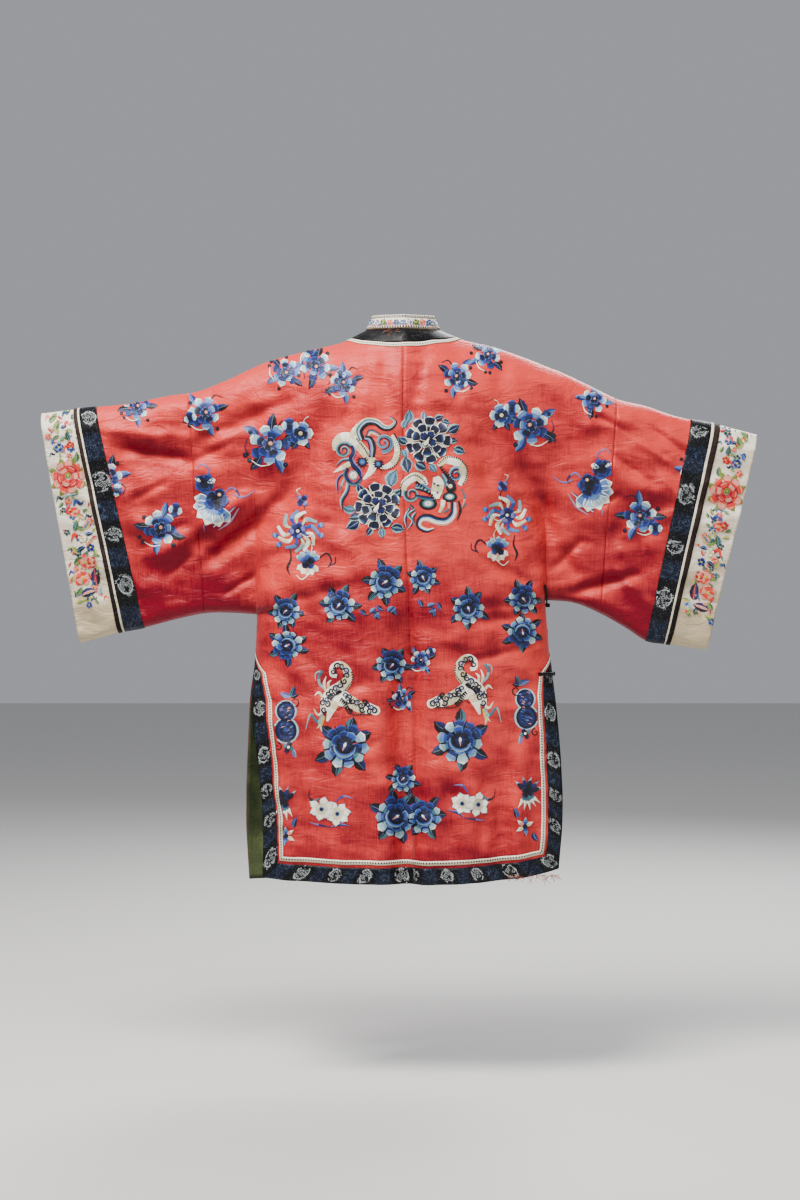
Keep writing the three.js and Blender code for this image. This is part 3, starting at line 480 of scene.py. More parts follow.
def bumped(tree, shader, height, distance, strength=1.0):
    bump = put(tree, "ShaderNodeBump", {"Height": height, "Distance": distance, "Strength": strength})
    tree.links.new(bump.outputs[0], shader.inputs["Normal"])


# %% [markdown]
# ## Silk
# Satin shines because its warp floats over many wefts. From across a room only a soft streak along
# the warp shows, and where the dye has faded or rubbed the red turns to orange. One group makes both
# from the flat place on the cut, and every silk in the jacket uses it with its own colours. The group
# also paints light and shade into the colour: lighter higher up and where the cloth faces up, and
# darker where it faces down and low on the arms, as the light falls from above.

# %% Silk group
silk, taken, given = group_with(
    "aged silk",
    [("Deep", "Color", (0.3, 0.02, 0.02, 1)), ("Bright", "Color", (0.7, 0.05, 0.03, 1)),
     ("Streaks", "Float", 0.5)],
    [("Colour", "Color"), ("Roughness", "Float"), ("Height", "Float")],
)
cut = put(silk, "ShaderNodeUVMap", uv_map="cut").outputs[0]
place = put(silk, "ShaderNodeTexCoord").outputs["Object"]
patches = noise_of(silk, place, 5.5, 5, Roughness=0.6)
long_way = put(silk, "ShaderNodeMapping", {"Vector": cut, "Scale": (420, 26, 1)}).outputs[0]
streak = noise_of(silk, long_way, 1, 3, Roughness=0.65)
threads = put(silk, "ShaderNodeMapping", {"Vector": cut, "Scale": (1500, 240, 1)}).outputs[0]
fine = noise_of(silk, threads, 1, 2)
fade = math_of(silk, "MULTIPLY_ADD", math_of(silk, "SUBTRACT", patches, 0.5), 2.6, 0.5)
rub = math_of(silk, "MULTIPLY", math_of(silk, "SUBTRACT", streak, 0.5), taken.outputs["Streaks"])
spot = put(silk, "ShaderNodeSeparateXYZ", {0: place}).outputs
# Painted light: the colour is lighter higher on the jacket and darker lower down, as the light falls from
# above.
painted_light_by_height = math_of(silk, "MULTIPLY_ADD", spot[2], 0.3, 0.28)
# Painted light and shade: lighter where the cloth faces up and darker where it faces down, which also marks
# the creases.
facing = put(silk, "ShaderNodeNewGeometry").outputs["Normal"]
turned_up = put(silk, "ShaderNodeSeparateXYZ", {0: facing}).outputs[2]
painted_light_facing_up = math_of(silk, "MULTIPLY_ADD", turned_up, 1.1, painted_light_by_height)
# Painted shade: darker low on the sleeves, out past the body, where less light falls.
out_on_arm = math_of(silk, "MULTIPLY_ADD", math_of(silk, "ABSOLUTE", spot[0]), 9.0, -2.3, clamp=True)
low_on_arm = math_of(silk, "MULTIPLY_ADD", spot[2], -8.0, -3.5, clamp=True)
painted_shade_under_arm = math_of(silk, "MULTIPLY", out_on_arm, low_on_arm)
painted_light_and_shade = math_of(silk, "MULTIPLY_ADD", painted_shade_under_arm, -0.75, painted_light_facing_up)
# The share of the bright red: random fading and rubbing of the dye, plus the painted light and shade.
share = math_of(silk, "ADD", math_of(silk, "ADD", fade, rub), painted_light_and_shade, clamp=True)
colour = blend_colours(silk, share, taken.outputs["Deep"], taken.outputs["Bright"])
silk.links.new(colour, given.inputs["Colour"])
rough = math_of(silk, "MULTIPLY_ADD", streak, 0.2, 0.38)
silk.links.new(rough, given.inputs["Roughness"])
pulled = put(silk, "ShaderNodeMapping", {"Vector": place, "Rotation": (0, 0.6, 0),
                                         "Scale": (0.5, 1, 1.25)}).outputs[0]
crinkle = noise_of(silk, pulled, 36, 4, Roughness=0.55, Distortion=0.8)
ridge = math_of(silk, "ABSOLUTE", math_of(silk, "SUBTRACT", crinkle, 0.5))
grain = math_of(silk, "MULTIPLY_ADD", fine, 0.35, streak)
height = math_of(silk, "MULTIPLY_ADD", ridge, -30.0, grain)
silk.links.new(height, given.inputs["Height"])


# %% Plain silks
def silk_material(name, deep, bright, streaks=0.9, sheen=0.06, rough=None):
    material, tree, shader = material_named(name, Sheen_Weight=sheen, Sheen_Roughness=0.4,
                                            Specular_IOR_Level=0.32)
    cloth = placed(tree, silk, {"Deep": (*deep, 1), "Bright": (*bright, 1), "Streaks": streaks})
    tree.links.new(cloth.outputs["Colour"], shader.inputs["Base Color"])
    if rough is None:
        tree.links.new(cloth.outputs["Roughness"], shader.inputs["Roughness"])
    else:
        shader.inputs["Roughness"].default_value = rough
    bumped(tree, shader, cloth.outputs["Height"], 0.0002)
    return material


red_satin = silk_material("red satin", (0.23, 0.006, 0.02), (0.68, 0.078, 0.064))
green_lining = silk_material("green lining", (0.045, 0.06, 0.028), (0.15, 0.18, 0.08))
ivory_silk = silk_material("ivory silk", (0.46, 0.38, 0.25), (0.8, 0.74, 0.62), streaks=0.5)
black_cord = silk_material("black cord", (0.006, 0.006, 0.008), (0.018, 0.018, 0.022), rough=0.6)
dark_braid = silk_material("dark braid", (0.008, 0.005, 0.005), (0.045, 0.026, 0.02), rough=0.7)
cream_cord = silk_material("cream cord", (0.55, 0.48, 0.36), (0.8, 0.74, 0.62), rough=0.7)
stained_ivory = silk_material("stained ivory", (0.5, 0.41, 0.28), (0.8, 0.74, 0.62), streaks=0.5)
rust_thread = silk_material("rust thread", (0.25, 0.05, 0.03), (0.6, 0.2, 0.13), rough=0.7)

# %% [markdown]
# Brocade is woven, not embroidered: silvery roundels of scrolls on a ground that is almost black,
# with blue cloud bands between them. The flat place on the strip gives each roundel its middle, and
# noise breaks the scrolls up, as the silvery weft is worn in places.

# %% Brocade
brocade, taken, given = group_with(
    "brocade", [("Middle", "Float", 0.015), ("Repeat", "Float", 0.062), ("Radius", "Float", 0.0125)],
    [("Colour", "Color"), ("Height", "Float")],
)
flat = put(brocade, "ShaderNodeSeparateXYZ", {0: put(brocade, "ShaderNodeUVMap", uv_map="cut").outputs[0]})
sway = math_of(brocade, "SINE", math_of(brocade, "MULTIPLY", flat.outputs[0], 23))
along = math_of(brocade, "MULTIPLY_ADD", sway, 0.011, flat.outputs[0])
turn = math_of(brocade, "DIVIDE", along, taken.outputs["Repeat"])
past_middle = math_of(brocade, "SUBTRACT", math_of(brocade, "FRACT", turn), 0.5)
beside = math_of(brocade, "MULTIPLY", past_middle, taken.outputs["Repeat"])
above = math_of(brocade, "SUBTRACT", flat.outputs[1], taken.outputs["Middle"])
far = put(brocade, "ShaderNodeCombineXYZ", {0: beside, 1: above})
away = put(brocade, "ShaderNodeVectorMath", {0: far.outputs[0]}, operation="LENGTH").outputs["Value"]
ratio = math_of(brocade, "DIVIDE", away, taken.outputs["Radius"])
ragged_at = put(brocade, "ShaderNodeTexCoord").outputs["Object"]
ragged = noise_of(brocade, ragged_at, 90, 2)
inside = math_of(brocade, "LESS_THAN", math_of(brocade, "MULTIPLY_ADD", ragged, 1.1, ratio), 1.6)
wound_at = {"Vector": put(brocade, "ShaderNodeTexCoord").outputs["Object"], "Scale": 245, "Randomness": 0.9}
wound = put(brocade, "ShaderNodeTexVoronoi", wound_at, feature="DISTANCE_TO_EDGE").outputs["Distance"]
petals = within(brocade, wound, 0.2, 0.07)
scrolls = math_of(brocade, "MAXIMUM", petals, within(brocade, ratio, 0.86, 0.05))
cloth_place = put(brocade, "ShaderNodeTexCoord").outputs["Object"]
worn_weft = noise_of(brocade, cloth_place, 130, 3)
kept = math_of(brocade, "GREATER_THAN", worn_weft, 0.44)
silver = math_of(brocade, "MULTIPLY", math_of(brocade, "MULTIPLY", inside, scrolls), kept)
clouds = noise_of(brocade, cloth_place, 85, 2, Distortion=1.2)
cloud_lines = within(brocade, clouds, 0.55, 0.018)
specks = noise_of(brocade, cloth_place, 520, 1)
speck = math_of(brocade, "GREATER_THAN", specks, 0.67)
share_beside = math_of(brocade, "DIVIDE", math_of(brocade, "ABSOLUTE", beside), taken.outputs["Repeat"])
zone = math_of(brocade, "MULTIPLY_ADD", share_beside, 14, -3.9, clamp=True)
ground = blend_colours(brocade, zone, (0.006, 0.006, 0.008, 1), (0.009, 0.012, 0.026, 1))
lit_clouds = math_of(brocade, "MULTIPLY", cloud_lines, zone)
ground = blend_colours(brocade, lit_clouds, ground, (0.05, 0.075, 0.13, 1))
ground = blend_colours(brocade, math_of(brocade, "MULTIPLY", speck, 0.3), ground, (0.3, 0.32, 0.33, 1))
brocade.links.new(blend_colours(brocade, silver, ground, (0.42, 0.45, 0.45, 1)), given.inputs["Colour"])
brocade.links.new(math_of(brocade, "ADD", silver, cloud_lines), given.inputs["Height"])


def brocade_material(name, middle, repeat, radius):
    material, tree, shader = material_named(name, Roughness=0.5, Specular_IOR_Level=0.3)
    woven = placed(tree, brocade, {"Middle": middle, "Repeat": repeat, "Radius": radius})
    tree.links.new(woven.outputs["Colour"], shader.inputs["Base Color"])
    bumped(tree, shader, woven.outputs["Height"], 0.0002)
    return material


blue_brocade = brocade_material("blue brocade", 0.0155, 0.07, 0.0135)
sleeve_brocade = brocade_material("sleeve brocade", 0.017, 0.108, 0.0165)

# %% [markdown]
# The ribbon is a cream tape with a row of small black dots down its middle and tiny loops along its
# edges. The dots and the gaps between the loops both come from the place along the ribbon.

# %% Ribbons and speckled satin
def dotted_material(name, middle, half, line=None):
    material, tree, shader = material_named(name, Roughness=0.65, Specular_IOR_Level=0.3)
    flat = put(tree, "ShaderNodeSeparateXYZ", {0: put(tree, "ShaderNodeUVMap", uv_map="cut").outputs[0]})
    step = math_of(tree, "FRACT", math_of(tree, "DIVIDE", flat.outputs[0], 0.0052))
    beside = math_of(tree, "MULTIPLY", math_of(tree, "SUBTRACT", step, 0.5), 0.0052)
    above = math_of(tree, "SUBTRACT", flat.outputs[1], middle)
    corner = put(tree, "ShaderNodeCombineXYZ", {0: beside, 1: above})
    away = put(tree, "ShaderNodeVectorMath", {0: corner.outputs[0]}, operation="LENGTH").outputs["Value"]
    dot = math_of(tree, "LESS_THAN", away, 0.0016)
    aside = math_of(tree, "ABSOLUTE", above)
    cloth = placed(tree, silk, {"Deep": (0.6, 0.52, 0.38, 1), "Bright": (0.87, 0.82, 0.7, 1), "Streaks": 0.3})
    colour = blend_colours(tree, dot, cloth.outputs["Colour"], (0.012, 0.01, 0.012, 1))
    if line:
        colour = blend_colours(tree, math_of(tree, "GREATER_THAN", above, half * 0.62), colour, (*line, 1))
    tree.links.new(colour, shader.inputs["Base Color"])
    waves = math_of(tree, "SINE", math_of(tree, "MULTIPLY", flat.outputs[0], math.pi / 0.0026))
    loops = math_of(tree, "ABSOLUTE", waves)
    edge = math_of(tree, "MULTIPLY_ADD", loops, 0.0008, half - 0.00085)
    tree.links.new(math_of(tree, "LESS_THAN", aside, edge), shader.inputs["Alpha"])
    bumped(tree, shader, math_of(tree, "SUBTRACT", 1.0, dot), 0.0003)
    return material


cream_ribbon = dotted_material("cream ribbon", 0.0395, 0.0045)
base_trim = dotted_material("dotted trim", 0.004, 0.0026, line=(0.5, 0.06, 0.04))
top_trim = dotted_material("top trim", 0.0245, 0.0026)
dark_satin, tree, shader = material_named("dark satin", Roughness=0.45, Specular_IOR_Level=0.3)
place = put(tree, "ShaderNodeTexCoord").outputs["Object"]
specks = noise_of(tree, place, 330, 2)
clouds = noise_of(tree, place, 60, 2, Distortion=1)
worn_lines = within(tree, clouds, 0.52, 0.012)
faint = math_of(tree, "MAXIMUM", math_of(tree, "GREATER_THAN", specks, 0.69),
                math_of(tree, "MULTIPLY", worn_lines, 0.5))
colour = blend_colours(tree, faint, (0.006, 0.006, 0.008, 1), (0.12, 0.11, 0.1, 1))
tree.links.new(colour, shader.inputs["Base Color"])
bumped(tree, shader, specks, 0.0003)

# %% [markdown]
# ## The body and the sleeves
# Each half of the body is one width of silk from the back hem over the shoulder to the front hem, and
# on to the first part of the sleeve. Its grid has a row every few millimetres, so that creases bend
# it. The shell's inner face is the green lining.

# %% The two halves of the body
AROUND_NECK = np.sin(np.radians(np.linspace(0, 90, 17))) * NECK_RADIUS
UPPER_ROWS = np.linspace(0, 1, 100) ** 1.35
LOWER_ROWS = np.linspace(0, 1, 104)


def columns_of(side):
    armpit = side["sleeve"]["top"][0]
    return np.concatenate([AROUND_NECK / armpit, np.linspace(NECK_RADIUS / armpit, 1, 46)[1:]])


def sheet_of(side, face, at, columns, rows, first=0.0):
    """A grid of the cloth with its place on the cut, as mesh_of takes it."""
    points = grid(lambda c, r: at(side, face, c, r), columns, rows)
    down = first + run(points, 1)
    uv = np.stack([points[..., 0], face["sign"] * down], -1)
    return points, uv, side["sign"] * face["sign"] < 0, 0


def half_body(side):
    sheets = []
    for face in FACES.values():
        upper = sheet_of(side, face, upper_body, columns_of(side), UPPER_ROWS)
        lower = sheet_of(side, face, lower_body, columns_of(side), LOWER_ROWS, 500)
        arm = sheet_of(side, face, sleeve_at, np.linspace(0, SECTION["join"], 28), UPPER_ROWS)
        sheets += [upper, lower, arm]
    return mesh_of("body_" + side["name"], sheets, [red_satin, green_lining])


body_left, body_right = half_body(LEFT), half_body(RIGHT)
print("cloth faces", len(body_left.data.polygons), len(body_right.data.polygons))

# %% [markdown]
# ## The flap
# A third width of silk, the flap, closes over the right front. Its upper edge falls from the neck to
# the armpit and its side then runs down to the hem. What it covers lies a few millimetres deeper, so
# the right front is drawn in there along its own normals.

# %% The flap's outline
FLAP_OUT, FLAP_CURVE, UNDER_FLAP, FLAP_EASE = 0.93, 1.5, 3.2, 45


def flap_edge(z):
    """How far out the flap reaches at a height."""
    neck, low = FACES["front"]["neck"], RIGHT["sleeve"]["low_z"][0]
    falling = np.clip((neck - z) / (neck - low), 0, 1) ** (1 / FLAP_CURVE)
    slit = mix(low, RIGHT["hem"]["front"], SLIT)
    return np.minimum(falling, mix(FLAP_OUT, 1, 1 - ease(z, slit - 80, slit)))


def flap_at(share, down):
    face = FACES["front"]
    z = mix(face["neck"], face["hem"], down)
    for _ in range(4):
        out = share * flap_edge(z)
        z = mix(face["neck"], mix(face["hem"], RIGHT["hem"]["front"], out**2), down)
    return body_at(RIGHT, face, out, z)


flap_rows = np.linspace(0, 1, 180) ** 1.2
points = grid(flap_at, np.linspace(0, 1, 52), flap_rows)
flat = np.stack([points[..., 0], -run(points, 1)], -1)
front_flap = mesh_of("front_flap", [(points, flat, False, 0)], [red_satin, green_lining])


# %% The right front under it
def arrays_of(piece):
    mesh = piece.data
    where, normals = np.empty(len(mesh.vertices) * 3), np.empty(len(mesh.vertices) * 3)
    mesh.vertices.foreach_get("co", where)
    mesh.vertex_normals.foreach_get("vector", normals)
    return where.reshape(-1, 3) * 1000, normals.reshape(-1, 3)


edge_line = grid(flap_at, [1.0], np.linspace(0, 1, 240) ** 1.2)[0]


def inside_flap(where, normals):
    """Distance from the flap's edge in mm, and above 0 where the flap covers the place."""
    gap, nearest = np.full(len(where), 1e9), np.zeros(len(where), int)
    for i, stop in enumerate(edge_line[:-1]):
        away = np.linalg.norm(where - stop, axis=1)
        nearest[away < gap] = i
        gap = np.minimum(gap, away)
    along = edge_line[nearest + 1] - edge_line[nearest]
    inward = np.cross(normals, along)
    side = np.einsum("ij,ij->i", inward, where - edge_line[nearest])
    return gap * np.sign(side)


where, normals = arrays_of(body_right)
covered = inside_flap(where, normals)
sink = UNDER_FLAP * (1 - ease(-covered, 0, FLAP_EASE)) * ((where[:, 1] <= 0) & (where[:, 0] <= 0))
body_right.data.vertices.foreach_set("co", ((where - normals * sink[:, None]) / 1000).ravel())
print("drawn in under the flap:", int((sink > 1).sum()), "points")

# %% [markdown]
# ## Sleeves
# A shorter width lengthens each sleeve beyond the seam. Its wide band of ivory silk is a piece of its
# own, and a brocade strip, a cord and a braid cover the join. They are tubes, made from the same
# functions, so they follow every fold of the sleeve.


# %% Sleeves and what goes round them
def tube(name, side, first, last, steps, materials):
    rows = UPPER_ROWS
    sections = np.linspace(first, last, steps)
    sheets = [sheet_of(side, face, sleeve_at, sections, rows) for face in FACES.values()]
    return mesh_of(name, sheets, materials)


def along_tube(piece, side, first, last):
    """Gives a narrow tube a UV that runs round it, with its width across."""
    mesh = piece.data
    layer = mesh.uv_layers["cut"]
    uv = np.empty(len(mesh.loops) * 2, np.float32)
    layer.data.foreach_get("uv", uv)
    uv = uv.reshape(-1, 2)
    index = np.empty(len(mesh.loops), np.int32)
    mesh.loops.foreach_get("vertex_index", index)
    where, _ = arrays_of(piece)
    near = grid(lambda c, r: sleeve_at(side, FACES["back"], c, r), [first, last], np.linspace(0, 1, 200))
    edge = np.interp(-where[:, 2], -near[0, :, 2], near[0, :, 0]) * side["sign"]
    across = np.abs(where[:, 0]) - np.abs(edge)
    uv = np.stack([uv[:, 1], across[index] / 1000], -1)
    layer.data.foreach_set("uv", uv.ravel().astype(np.float32))


for side in (LEFT, RIGHT):
    name = side["name"]
    join, strip, cord, band, cuff = (SECTION[key] for key in ("join", "strip", "cord", "band", "cuff"))
    sleeve = tube("sleeve_" + name, side, join, band, 56, [red_satin, green_lining])
    sewn(shell(sleeve, -1.6, 0, 1), "red_silk", "sleeve_" + name)
    ivory = tube("sleeve_band_" + name, side, band, cuff, 22, [stained_ivory, ivory_silk])
    sewn(shell(ivory, -1.6, 0, 1), "ivory_silk", "sleeve_band_" + name)
    for part, first, last, material, slot, top in (
        ("strip", strip, cord, sleeve_brocade, "blue_brocade", 1.1),
        ("cord", cord, CORD_END, cream_cord, "cream_ribbon", 1.6),
        ("braid", CORD_END, band, dark_braid, "dark_braid", 1.3),
    ):
        trim = tube(f"sleeve_{part}_{name}", side, first, last, 8, [material])
        along_tube(trim, side, first, last)
        sewn(shell(trim, 0.3, top), slot, f"sleeve_{part}_{name}")

# %% [markdown]
# ## Strips and ribbons
# Dark strips and narrow ribbons run down the slits and along the hems, and turn their corners with a
# mitre. Each is laid out flat first, as distances from the panel's middle and heights, and then
# placed on the cloth. So a strip keeps its width wherever the cloth swells.

# %% Laying strips on the cloth
FINE_OUT = np.linspace(0, 1, 90)


def laid_out(side, face, across, z, from_edge=False):
    """Points of the cloth a distance along it from the middle, or from the side edge, at heights."""
    shape = np.broadcast(across, z).shape
    across, z = np.broadcast_to(across, shape).ravel(), np.broadcast_to(z, shape).ravel()
    rows = body_at(side, face, FINE_OUT[:, None], z[None, :])
    distance = run(rows, 0)
    if from_edge:
        across = distance[-1] - across
    out = np.array([np.interp(a, distance[:, i], FINE_OUT) for i, a in enumerate(across)])
    return body_at(side, face, out, z).reshape(*shape, 3)


def hem_height(side, face, across, from_edge=False):
    """The hem's height at distances along it."""
    rows = lower_body(side, face, FINE_OUT, np.ones(90))
    distance = run(rows, 0)
    if from_edge:
        across = distance[-1] - across
    return np.interp(across, distance, rows[:, 2])


def side_strip(side, face, near, far):
    """A strip round a slit's edge and a hem, between two distances from them."""
    total = run(lower_body(side, face, FINE_OUT, np.ones(90)), 0)[-1]
    rows = []
    for d in np.linspace(near, far, max(int((far - near) / 4.5), 2) + 1):
        slant = np.linspace(0, 1, 7)[:-1]
        top = np.stack([slant * d, side["mitre"] + d * (1 - slant)], -1)
        low = hem_height(side, face, np.array([d]), True)[0] + d
        fall = np.linspace(0, 1, 61)[:-1]
        down = np.stack([np.full(60, d), mix(side["mitre"], low, fall)], -1)
        flat = mix(d, total + 8, np.linspace(0, 1, 61))
        hem = np.stack([flat, hem_height(side, face, flat, True) + d], -1)
        rows.append(np.concatenate([top, down, hem]))
    flat = np.stack(rows, 1)
    points = laid_out(side, face, flat[..., 0], flat[..., 1], True)
    return strip_of(points, near, far)


def strip_of(points, near, far):
    """The strip's grid, with a UV that runs along it and its width across."""
    along = run(points, 0).mean(1, keepdims=True) * np.ones(points.shape[1])
    across = np.linspace(near, far, points.shape[1]) * np.ones((points.shape[0], 1))
    return points, np.stack([along, across], -1)


def strip_piece(name, strips, material, top=1.2):
    """Strips as one piece. Each is turned so that it faces away from the body."""
    sheets = []
    for points, uv in strips:
        a, b = points[1:] - points[:-1], points[:, 1:] - points[:, :-1]
        normals = np.cross(a[:, :-1], b[:-1])
        outward = points[:-1, :-1] * (1, 1, 0) + (0, 0, 100)
        sheets.append((points, uv, float((normals * outward).sum()) < 0, 0))
    piece = mesh_of(name, sheets, [material])
    return shell(piece, 0.35, top)


# %% Strips at the slits and hems
BORDER, RIBBON_NEAR, RIBBON_FAR = 30, 35, 44
for side, face in ((LEFT, "back"), (RIGHT, "back"), (LEFT, "front")):
    label = f"{face}_{side['name']}"
    border = strip_piece("border_" + label, [side_strip(side, FACES[face], 0, BORDER)], blue_brocade)
    sewn(border, "blue_brocade", "border_" + label)
    ribbon = strip_piece("ribbon_" + label, [side_strip(side, FACES[face], RIBBON_NEAR, RIBBON_FAR)],
                         cream_ribbon)
    sewn(ribbon, "cream_ribbon", "ribbon_" + label)

# %% [markdown]
# The flap's strip follows its upper edge from the neck, its side and its hem. The line is laid out
# flat and moved inward by each distance, and at a corner it is moved along the corner's bisector.

# %% Strips round the flap
FRONT = FACES["front"]


def flap_line():
    """The flap's edge laid flat: distance from the middle, and height."""
    z = edge_line[:, 2]
    rows = body_at(RIGHT, FRONT, FINE_OUT[:, None], z[None, :])
    distance = run(rows, 0)
    out = flap_edge(z)
    across = np.array([np.interp(o, FINE_OUT, distance[:, i]) for i, o in enumerate(out)])
    flat = np.stack([across, z], -1)
    keep = np.concatenate([[True], np.linalg.norm(np.diff(flat, axis=0), axis=1) > 0.5])
    side = flat[keep]
    hem = mix(side[-1, 0], 0, np.linspace(0, 1, 60))[1:]
    return np.concatenate([side, np.stack([hem, hem_height(RIGHT, FRONT, hem)], -1)])


def moved_in(line, distance):
    """A flat line moved to its right by a distance, with mitred corners."""
    steps = np.diff(line, axis=0)
    right = np.stack([steps[:, 1], -steps[:, 0]], -1) / np.linalg.norm(steps, axis=1)[:, None]
    before, after = np.concatenate([right[:1], right]), np.concatenate([right, right[-1:]])
    bisector = before + after
    bisector /= np.linalg.norm(bisector, axis=1)[:, None]
    return line + bisector * (distance / np.einsum("ij,ij->i", bisector, after))[:, None]


flap_flat = flap_line()
for name, material, slot, near, far in (
    ("flap_border", blue_brocade, "blue_brocade", 0, BORDER),
    ("flap_ribbon", cream_ribbon, "cream_ribbon", RIBBON_NEAR, RIBBON_FAR),
):
    flat = np.stack([moved_in(flap_flat, d) for d in np.linspace(near, far, 8 if far == BORDER else 3)], 1)
    flat[..., 0] = np.maximum(flat[..., 0], 0)
    strip = strip_of(laid_out(RIGHT, FRONT, flat[..., 0], flat[..., 1]), near, far)
    sewn(strip_piece(name, [strip], material), slot, name)

# %% [markdown]
# Round the neck the strips can't be laid out flat, as the shoulders fall away. They are walked
# instead: from each place on the neckline a line goes outward over the cloth, a few millimetres at a
# time, and each step is put back on the surface.

# %% Strips round the neck
def tree_of(*pieces):
    points, faces = [], []
    for piece in pieces:
        start = len(points)
        points += [v.co * 1000 for v in piece.data.vertices]
        faces += [[start + i for i in face.vertices] for face in piece.data.polygons]
    return BVHTree.FromPolygons(points, faces)


cloth_tree = tree_of(body_left, body_right)
outer_tree = tree_of(body_left, body_right, front_flap)


def neckline(angle):
    """A point of the neckline. The angle is 0 at the middle of the back, and above 0 to the left."""
    side = LEFT if angle > 0 else RIGHT
    face = FACES["back"] if abs(angle) < math.pi / 2 else FRONT
    out = abs(math.sin(angle)) * NECK_RADIUS / side["sleeve"]["top"][0]
    return Vector(upper_body(side, face, np.array([out]), np.array([0.0]))[0])


def walked(angles, distances, tree):
    """Lines walked outward from the neckline, with a stop at each of the distances."""
    line = [neckline(a) for a in angles]
    rows = []
    for i, start in enumerate(line):
        along = line[min(i + 1, len(line) - 1)] - line[max(i - 1, 0)]
        here, normal, _, _ = tree.find_nearest(start)
        heading = along.cross(normal).normalized()
        if heading.dot(Vector((start.x, start.y, 0))) < 0:
            heading = -heading
        here, gone, row = start, 0.0, []
        for stop in distances:
            while gone < stop - 1e-6:
                step = min(2.0, stop - gone)
                found, normal, _, _ = tree.find_nearest(here + heading * step)
                heading = (heading - normal * heading.dot(normal)).normalized()
                here, gone = found, gone + step
            row.append(here.copy())
        rows.append(row)
    return np.array(rows, float)


# The strips end at the flap's edge on the right front.
angles = np.radians(np.linspace(-169, 180, 140))
for name, material, slot, near, far in (
    ("neck_border", dark_satin, "dark_satin", 0.5, 34),
    ("neck_ribbon", cream_ribbon, "cream_ribbon", 35, 44),
):
    strip = strip_of(walked(angles, np.linspace(near, far, 9 if far == 34 else 4), cloth_tree), near, far)
    sewn(strip_piece(name, [strip], material), slot, name)

# %% [markdown]
# ## The lining of the front
# Past the left slit the front's green lining shows from behind. It is a thin sheet inside the skirt.

# %% Lining of the left front skirt
FRONT_LINING = sheet_of(LEFT, FRONT, lower_body, np.linspace(0, 1, 36), np.linspace(0, 1, 60))
lining = mesh_of("front_lining", [FRONT_LINING], [green_lining])
sewn(shell(lining, -3.2, -2.2), "green_lining", "front_lining")

# %% The body pieces, with their thickness
sewn(shell(body_left, -1.6, 0, 1), "red_silk", "body_left")
sewn(shell(body_right, -1.6, 0, 1), "red_silk", "body_right")
sewn(shell(front_flap, -1.6, 0, 1), "red_silk", "front_flap")

# %% [markdown]
# ## The collar
# A low standing collar is a straight band sewn to the neckline. It leans in a little towards its top,
# and a narrow trim finishes each long edge.

# %% Collar
COLLAR_HEIGHT, COLLAR_LEAN, COLLAR_ENDS = 27, 11, 0.012


def collar_at(turn, height):
    angle = mix(-math.pi + COLLAR_ENDS, math.pi - COLLAR_ENDS, np.asarray(turn, float))
    base = np.array([neckline(a) for a in angle.ravel()]).reshape(*angle.shape, 3)
    inward = -base * (1, 1, 0)
    inward /= np.linalg.norm(inward, axis=-1, keepdims=True)
    lean = 0.3 + COLLAR_LEAN * height * np.sin(height * math.pi / 2)
    return base + inward * lean[..., None] + np.stack([0 * lean, 0 * lean, height * COLLAR_HEIGHT + 0.6], -1)


def collar_band(name, low, high, steps, material, near, far, slot):
    points = grid(collar_at, np.linspace(0, 1, 160), np.linspace(low, high, steps) / COLLAR_HEIGHT)
    points, uv = strip_of(points, low, high)
    piece = shell(mesh_of(name, [(points, uv, True, 0)], [material]), near, far)
    return sewn(piece, slot, name)


collar_band("collar", 0, COLLAR_HEIGHT, 8, ivory_silk, -2.4, 0, "ivory_silk")
collar_band("collar_trim_top", COLLAR_HEIGHT - 5, COLLAR_HEIGHT, 3, top_trim, 0.3, 1.3, "cream_ribbon")
collar_band("collar_trim_base", 1.5, 6.5, 3, base_trim, 0.3, 1.3, "cream_ribbon")

# %% [markdown]
# ## Fastenings
# Four knot buttons close the jacket: at the collar, on the chest, at the right armpit and at the
# side. Each is a cord tied as a ball, with a doubled strap of cord sewn down on either side.

# %% Places of the fastenings
FASTENINGS = {
    "chest_strap": [(0.27, -170), (0.34, -170), (0.418, -170)],
    "chest_knot": [(0.437, -170)],
    "chest_loop": [(0.456, -170), (0.52, -170), (0.58, -170)],
    "armpit_strap": [(0.8, -517), (0.87, -517), (0.937, -517)],
    "armpit_knot": [(0.968, -518)],
    "armpit_loop": [(1.102, -519), (1.16, -505), (1.23, -480)],
    "slit_strap": [(0.84, -647), (0.92, -647), (1, -647), (1.0375, -647)],
    "slit_knot": [(1.05, -647)],
    "slit_loop": [(1.063, -647), (1.1, -647), (1.22, -647), (1.34, -647)],
}


def around_right(turn, z):
    """The right half of the body all round, from the middle of the front, with the slit bridged."""
    front = body_at(RIGHT, FRONT, np.minimum(turn, 1), z)
    back = body_at(RIGHT, FACES["back"], np.minimum(2.1 - turn, 1), z)
    share = np.clip((turn - 1) / 0.1, 0, 1)[..., None]
    return mix(front, back, share)


def tube_along(line, radius, around=8):
    """A grid round a line of points."""
    line = np.asarray(line, float)
    along = np.gradient(line, axis=0)
    along /= np.linalg.norm(along, axis=1)[:, None]
    across = np.cross(along, (0.03, 0.02, 1.0))
    across /= np.linalg.norm(across, axis=1)[:, None]
    other = np.cross(along, across)
    turn = np.linspace(0, 2 * math.pi, around + 1)
    ring = np.cos(turn)[:, None] * across[:, None] + np.sin(turn)[:, None] * other[:, None]
    points = line[:, None] + radius * ring
    return points, np.stack([run(points, 0), np.broadcast_to(turn, points.shape[:2])], -1), True, 0


